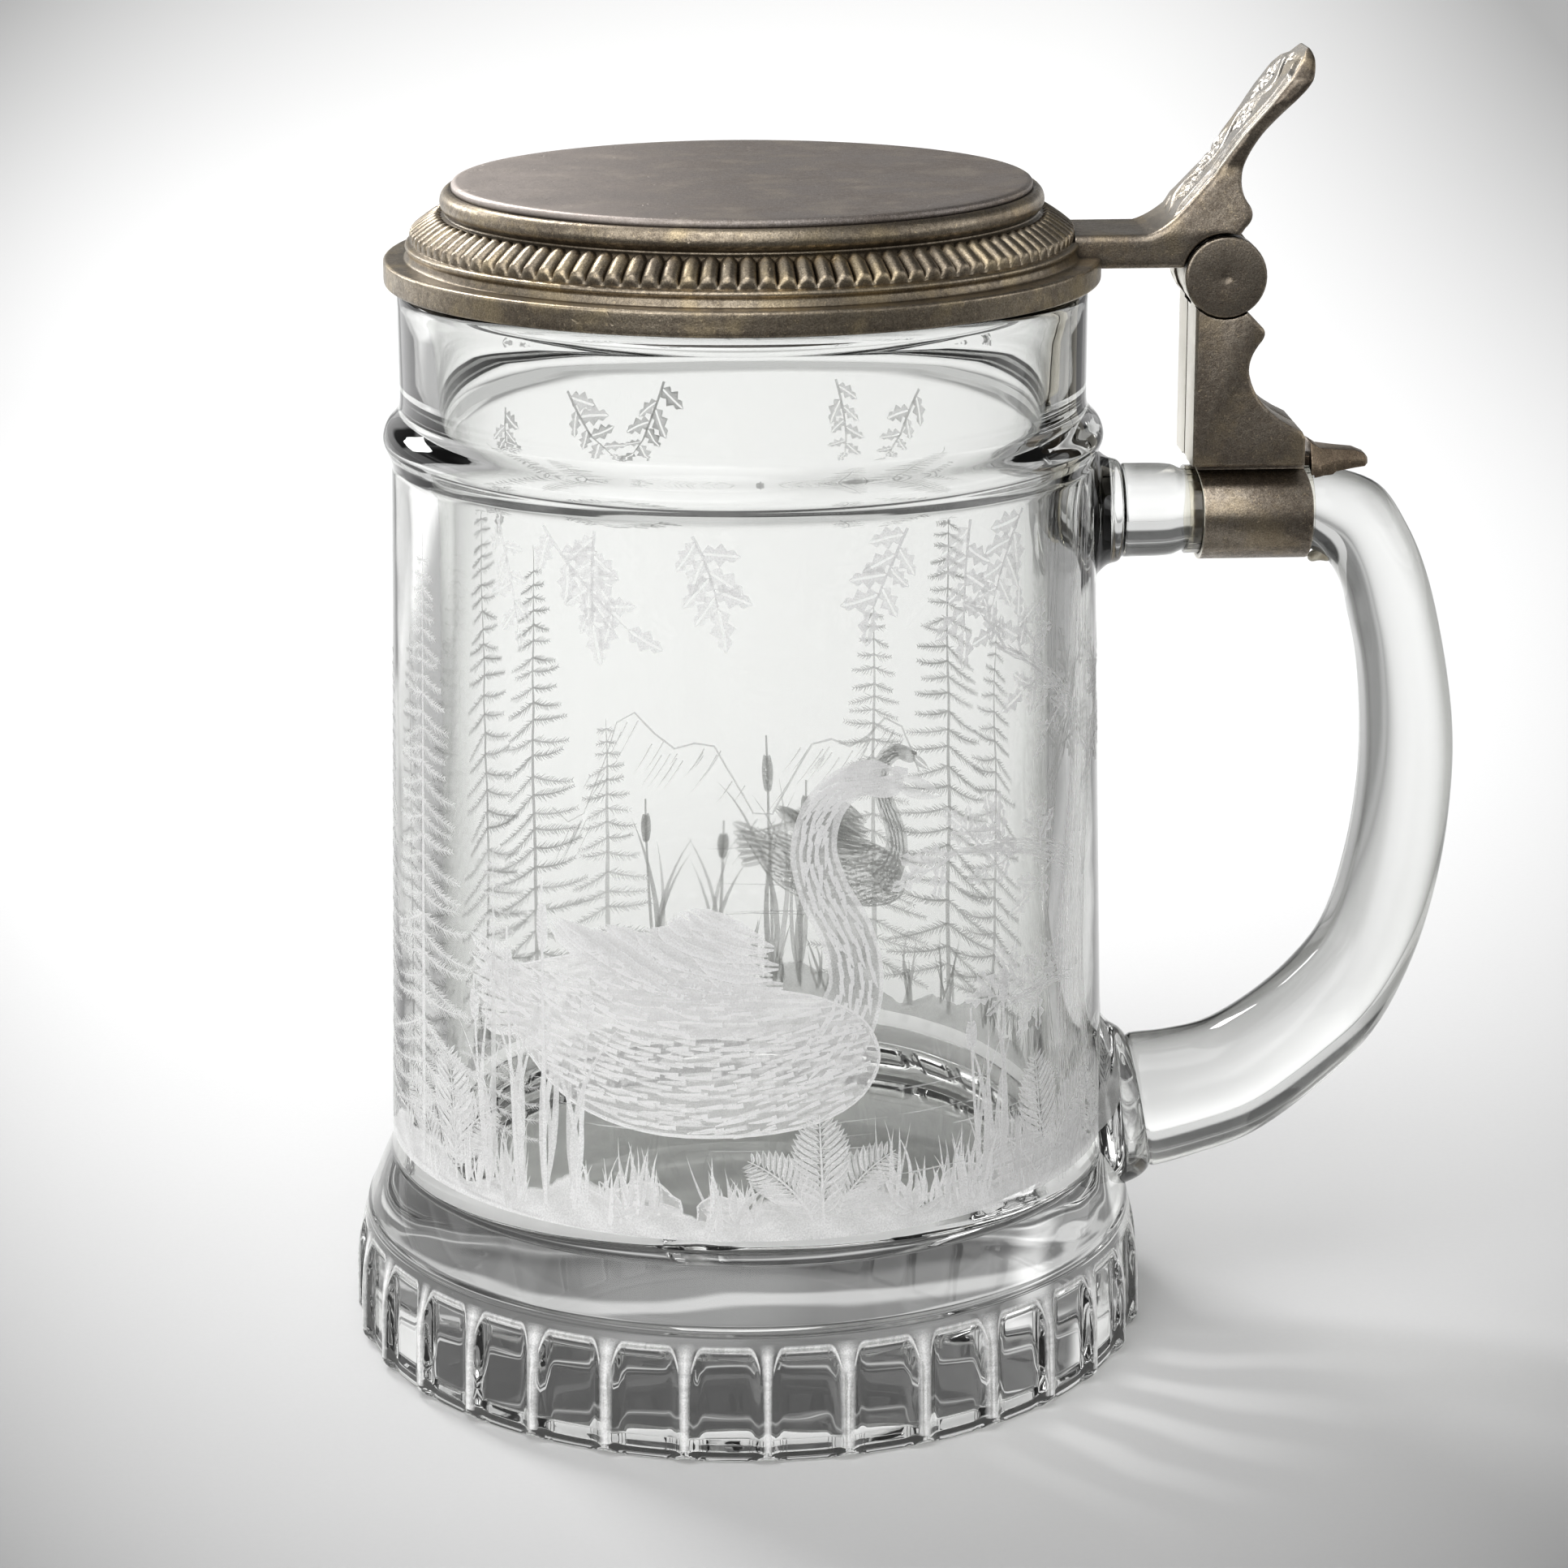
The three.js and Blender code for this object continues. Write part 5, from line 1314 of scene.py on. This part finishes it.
def build_lever():
    """Arm and thumb lift in one casting, with soft edges and a scroll of leaves on its face."""
    upper, lower = lever_outline()
    run = np.concatenate([[0], np.cumsum(np.linalg.norm(np.diff(upper, axis=0), axis=1))])
    rings = []
    for along, top, bottom in zip(run, upper, lower):
        thick = np.linalg.norm(bottom - top)
        down = (bottom - top) / thick
        points, soft = lever_section(thick)
        ring = []
        for a, depth, inset in points:
            at = top + down * depth
            half = float(np.interp(at[1], *LEVER_WIDTHS.T))
            y = a * (half - (soft if inset is None else inset))
            if inset is None and depth == 0.0 and at[1] > RELIEF_START:
                ends = (at[1] - RELIEF_START) / 1.5, max(0.0, (RELIEF_END - at[1]) / 1.2)
                at = at - down * min(1.0, *ends) * lever_relief(along - RELIEF_SHIFT, y, half)
            ring.append((HINGE_X + at[0], y, HINGE_Z + at[1]))
        rings.append(ring)
    vertices, faces = loft(rings)
    start = len(vertices)
    more, more_faces = loft(knuckle_rings())
    faces += [tuple(start + i for i in face) for face in more_faces]
    lever = add_object("thumb_lever", vertices + more, faces, DARK_PEWTER)
    # The face takes the lighter pewter: painted reflection
    lever.data.materials.append(FACE_PAINTED_REFLECTION)
    for k in range(len(rings) - 1):
        if upper[k][1] > PAINTED_FACE_FROM:
            first = k * len(rings[0])
            for face in lever.data.polygons[first : first + FACE_POINTS - 1]:
                face.material_index = 1
    face_outwards(lever)
    shade_smooth(lever, 50)
    settle(lever, "lid", "dark_pewter", "thumb_lift")


def build_resin_drop():
    """A drop of the sleeve's resin that has run out under the band."""
    x, y, z = RESIN_AT
    around = -np.arange(24) * TAU / 24
    rings = []
    for turn in np.linspace(0.04, 0.96, 13) * math.pi:
        radius = math.sin(turn) ** 0.8
        sag = 0.25 * math.sin(3 * turn)
        rings.append([
            (
                x - RESIN_LONG * math.cos(turn),
                y + RESIN_WIDE * radius * math.cos(a),
                z + RESIN_HIGH * radius * (math.sin(a) - sag),
            )
            for a in around
        ])
    drop = add_object("resin_drop", *loft(rings), RESIN)
    shade_smooth(drop, 60)
    settle(drop, "mug", "clear_sleeve")


def dress_hinge():
    dress("band_liner", SLEEVE)
    dress("hinge_pin", STEEL)
    dress("cheek_dowel", DARK_PEWTER)
    dress("handle_spur", COPPER, 0.3)
    for side in ("front", "back"):
        dress("hinge_bracket_" + side, DARK_PEWTER, 0.3)
        dress("hinge_cap_" + side, DARK_PEWTER, 0.18)


# Floor, in metres. Places in the picture go from -1 to 1: up and to the side of its middle
FLOOR_HALF = 4000
FRAME_HALF_TAN = 966 / 5300
CAMERA_PITCH_TAN = 0.2741 / 0.9617
PICTURE_MIDDLE = 0.0524, -0.0225  # x of the picture's middle: slope with the distance, and offset
PICTURE_HALF = 0.1787, 0.0102  # half its width on the floor, likewise
FLOOR_GREY = 0.93
FAR_GLOW = 0.26
STREAK_LEVEL = 0.13
STREAK_FAN = (-68, -44), (-10, -26)  # degrees round the foot over which the streaks come and go
STREAK_REACH = (0.051, 0.057), (0.092, 0.06)  # the same, in metres from the axis
VIGNETTE_POWER, VIGNETTE_DEPTH, VIGNETTE_DARKEST = 3.8, 0.18, 0.42


def picture_place(t, x, y):
    """Up and sideways place, in the photograph, of a point on the floor."""
    away = t.max(y - CAMERA_AT[1], 0.12)
    dip = CAMERA_AT[2] / away
    up = (CAMERA_PITCH_TAN - dip) / ((dip * CAMERA_PITCH_TAN + 1.0) * FRAME_HALF_TAN)
    side = x - (away * PICTURE_MIDDLE[0] + PICTURE_MIDDLE[1])
    return up, side / (away * PICTURE_HALF[0] + PICTURE_HALF[1])


def floor_painted_falloff(t, y, up, side):
    """Painted light falloff: bright just behind the object, greyer towards the edges of the picture and
    beyond.
    """
    above = t.max(up - 0.15, 0.0)
    below = t.max(-0.3 - up, 0.0)
    across = t.math("ABSOLUTE", side - 0.06)
    reach = t.math("SQRT", across * across + above * above + below * below)
    corner = t.span(up, 0.2, 1.0) * t.span(side, 0.35, 1.05, 0.0, 0.22)
    fall = t.math("POWER", reach, VIGNETTE_POWER) * VIGNETTE_DEPTH
    inside = t.max(1.0 - fall - corner, VIGNETTE_DARKEST)
    beyond = t.max(t.span(up, 1.02, 1.4), t.span(t.math("ABSOLUTE", side), 1.03, 1.45))
    # Painted shade: darker beyond the picture's sides
    left = t.span(side, -1.08, -1.5, 1.0, t.span(y, 0.27, 0.34, 0.4, 0.95))
    right = t.span(side, 1.1, 1.6, 1.0, t.span(y, 0.35, 0.8, 0.4, 0.3))
    # Painted shade: darker towards the bottom of the picture
    near = t.span(up, -1.05, -1.9, 1.0, 0.5) * t.span(up, 0.1, -1.2, 1.0, 0.62)
    grain = t.span(t.noise(1400, detail=2), 0.2, 0.8, 0.985, 1.0)
    return t.max(inside, beyond) * left * right * near * grain


def light_streaks(t, x, y):
    """Painted light: soft bright streaks like those the foot throws on the floor in front of it, to the
    right.
    """
    turn = t.math("ARCTAN2", y, x) * (180 / math.pi)
    out = t.math("SQRT", x * x + y * y)
    wave = t.math("SINE", turn * 0.62 - out * 40.0 + t.noise(24, detail=2) * 7.0)
    level = t.span(wave, -0.7, 1.0)
    for value, ranges in ((turn, STREAK_FAN), (out, STREAK_REACH)):
        for low, high in ranges:
            level *= t.span(value, low, high)
    return level


def floor_material():
    """Pale paper with painted light falloff and painted light streaks. It glows a little far away,
    where the lamps don't reach.
    """
    t = Tree(bpy.data.materials.new("floor_pale"))
    x, y, _ = t.split(t.place())
    level = floor_painted_falloff(t, y, *picture_place(t, x, y))
    paper = t.add("BsdfDiffuse", {"Color": t.blend(level, (0.0,) * 3, (FLOOR_GREY,) * 3)})
    path = t.node("LightPath").outputs
    rays = [Wire(t, path[kind + " Ray"]) for kind in ("Is Camera", "Is Transmission", "Is Glossy")]
    seen = t.max(rays[0], t.max(rays[1], rays[2]))
    light = t.span(y, 0.3, 1.7, 0.0, FAR_GLOW) * level + light_streaks(t, x, y) * STREAK_LEVEL
    glow = t.add("Emission", {"Color": (1.0, 1.0, 0.985), "Strength": light * seen})
    return t.finish(t.add("AddShader", {0: paper, 1: glow}))


def build_floor():
    corners = [(x * FLOOR_HALF, y * FLOOR_HALF, 0) for x, y in ((-1, -1), (1, -1), (1, 1), (-1, 1))]
    add_object("floor", corners, [(0, 1, 2, 3)], floor_material())


# Studio round the object. Panels: bearing from the back, half width, lowest and highest
# elevation, all in degrees, and strength. Soft boxes: towards, cosines of the soft edge's outside
# and inside, strength
PANELS = (
    (-31, 3, 18.5, 24.5, 0.6), (90, 46, 6, 16.5, 1.15), (-108, 68, 6, 16.5, 1.0),
    (-72, 9, 10, 45, 0.9), (92, 12, 10, 45, 0.8), (-105, 8, 10, 45, 0.8), (-140, 7, 8, 45, 0.4),
    (138, 7, 8, 45, 0.4),
)
SOFT_BOXES = (
    ((-0.30, 0.25, 0.90), 0.80, 0.93, 0.6),
    ((-0.15, -0.35, 0.92), 0.93, 0.97, 2.2),
    ((-0.42, -0.95, 0.72), 0.76, 0.93, 2.1),
)
STUDIO_LEVEL = 0.1
FRONT_LEVEL = 0.3
HORIZON_LEVEL = 0.85
LIP_LEVEL = 0.17
LINE_LEVEL = 0.5
SEEN_LEVEL = 0.93


def build_world():
    """A dark studio: a bright backdrop up to the horizon, upright strips and soft boxes. The
    camera itself sees a plain pale wall."""
    t = Tree(bpy.data.worlds.new("studio"), "OutputWorld")
    bpy.context.scene.world = t.owner
    direction = t.place("Generated")
    x, y, z = t.split(direction)
    bearing = t.math("ARCTAN2", x, y) * (180 / math.pi)
    level = t.span(y, -0.3, 0.3, FRONT_LEVEL, STUDIO_LEVEL)
    level += t.span(z, 0.14, 0.085) * t.span(y, -0.2, 0.5, 0.1, HORIZON_LEVEL)
    level += t.span(z, 0.276, 0.317) * t.span(z, 0.43, 0.405) * LIP_LEVEL
    line = t.span(z, 0.355, 0.365) * t.span(z, 0.385, 0.375)
    level += line * t.span(y, 0.0, 0.4, 0.0, LINE_LEVEL)
    for at, half, lowest, highest, strength in PANELS:
        off = t.math("ABSOLUTE", bearing - at)
        low, high = math.sin(math.radians(lowest)), math.sin(math.radians(highest))
        tall = t.span(z, low - 0.01, low + 0.01) * t.span(z, high + 0.015, high - 0.015)
        level += tall * t.span(off, half + 2, half - 2, 0.0, strength)
    for aim, outside, inside, strength in SOFT_BOXES:
        towards = t.dot(direction, Vector(aim).normalized())
        level += t.span(towards, outside, inside, 0.0, strength)
    glow = t.add("Background", {"Strength": level})
    wall = t.add("Background", {"Color": (SEEN_LEVEL,) * 3})
    seen = t.add("LightPath", out="Is Camera Ray")
    t.finish(t.add("MixShader", {0: seen, 1: glow, 2: wall}))


# Lamps, in metres and watts: where they are, what they point at, their side and their power
KEY_LIGHT = (-0.518, 0.74, 1.003), (0, 0, 0.06), 0.28, 7.6
RIM_LIGHT = (-0.34, 0.36, 0.30), (-0.02, 0, 0.14), 0.12, 0.5


def area_light(name, at, towards, side, power):
    light = bpy.data.lights.new(name, "AREA")
    light.shape = "RECTANGLE"
    light.size = light.size_y = side
    light.energy = power
    obj = bpy.data.objects.new(name, light)
    obj.location = at
    obj.visible_transmission = False
    obj.rotation_euler = (Vector(towards) - Vector(at)).to_track_quat("-Z", "Y").to_euler()
    bpy.context.scene.collection.objects.link(obj)


def build_camera():
    camera = bpy.data.cameras.new("camera")
    camera.lens = CAMERA_LENS
    camera.sensor_width = SENSOR_WIDTH
    camera.clip_start = 0.01
    obj = bpy.data.objects.new("camera", camera)
    forward = Vector(CAMERA_TOWARDS).normalized()
    right = forward.cross(Vector((0, 0, 1))).normalized()
    up = right.cross(forward)
    rolled_up = up * math.cos(CAMERA_ROLL) + right * math.sin(CAMERA_ROLL)
    rolled_right = right * math.cos(CAMERA_ROLL) - up * math.sin(CAMERA_ROLL)
    turn = Matrix((rolled_right, rolled_up, -forward)).transposed().to_4x4()
    obj.matrix_world = Matrix.Translation(Vector(CAMERA_AT)) @ turn
    bpy.context.scene.collection.objects.link(obj)
    bpy.context.scene.camera = obj


build_glass()
build_engraving("engraving_front", draw_front, 11)
build_engraving("engraving_back", draw_back, 12)
build_foot_painted_highlights()
build_lid_shell()
build_lid_disc()
build_resin_drop()
dress_hinge()
build_lever()
build_floor()
build_world()
area_light("key", *KEY_LIGHT)
area_light("rim_light", *RIM_LIGHT)
build_camera()

bpy.context.scene.view_settings.view_transform = "Standard"
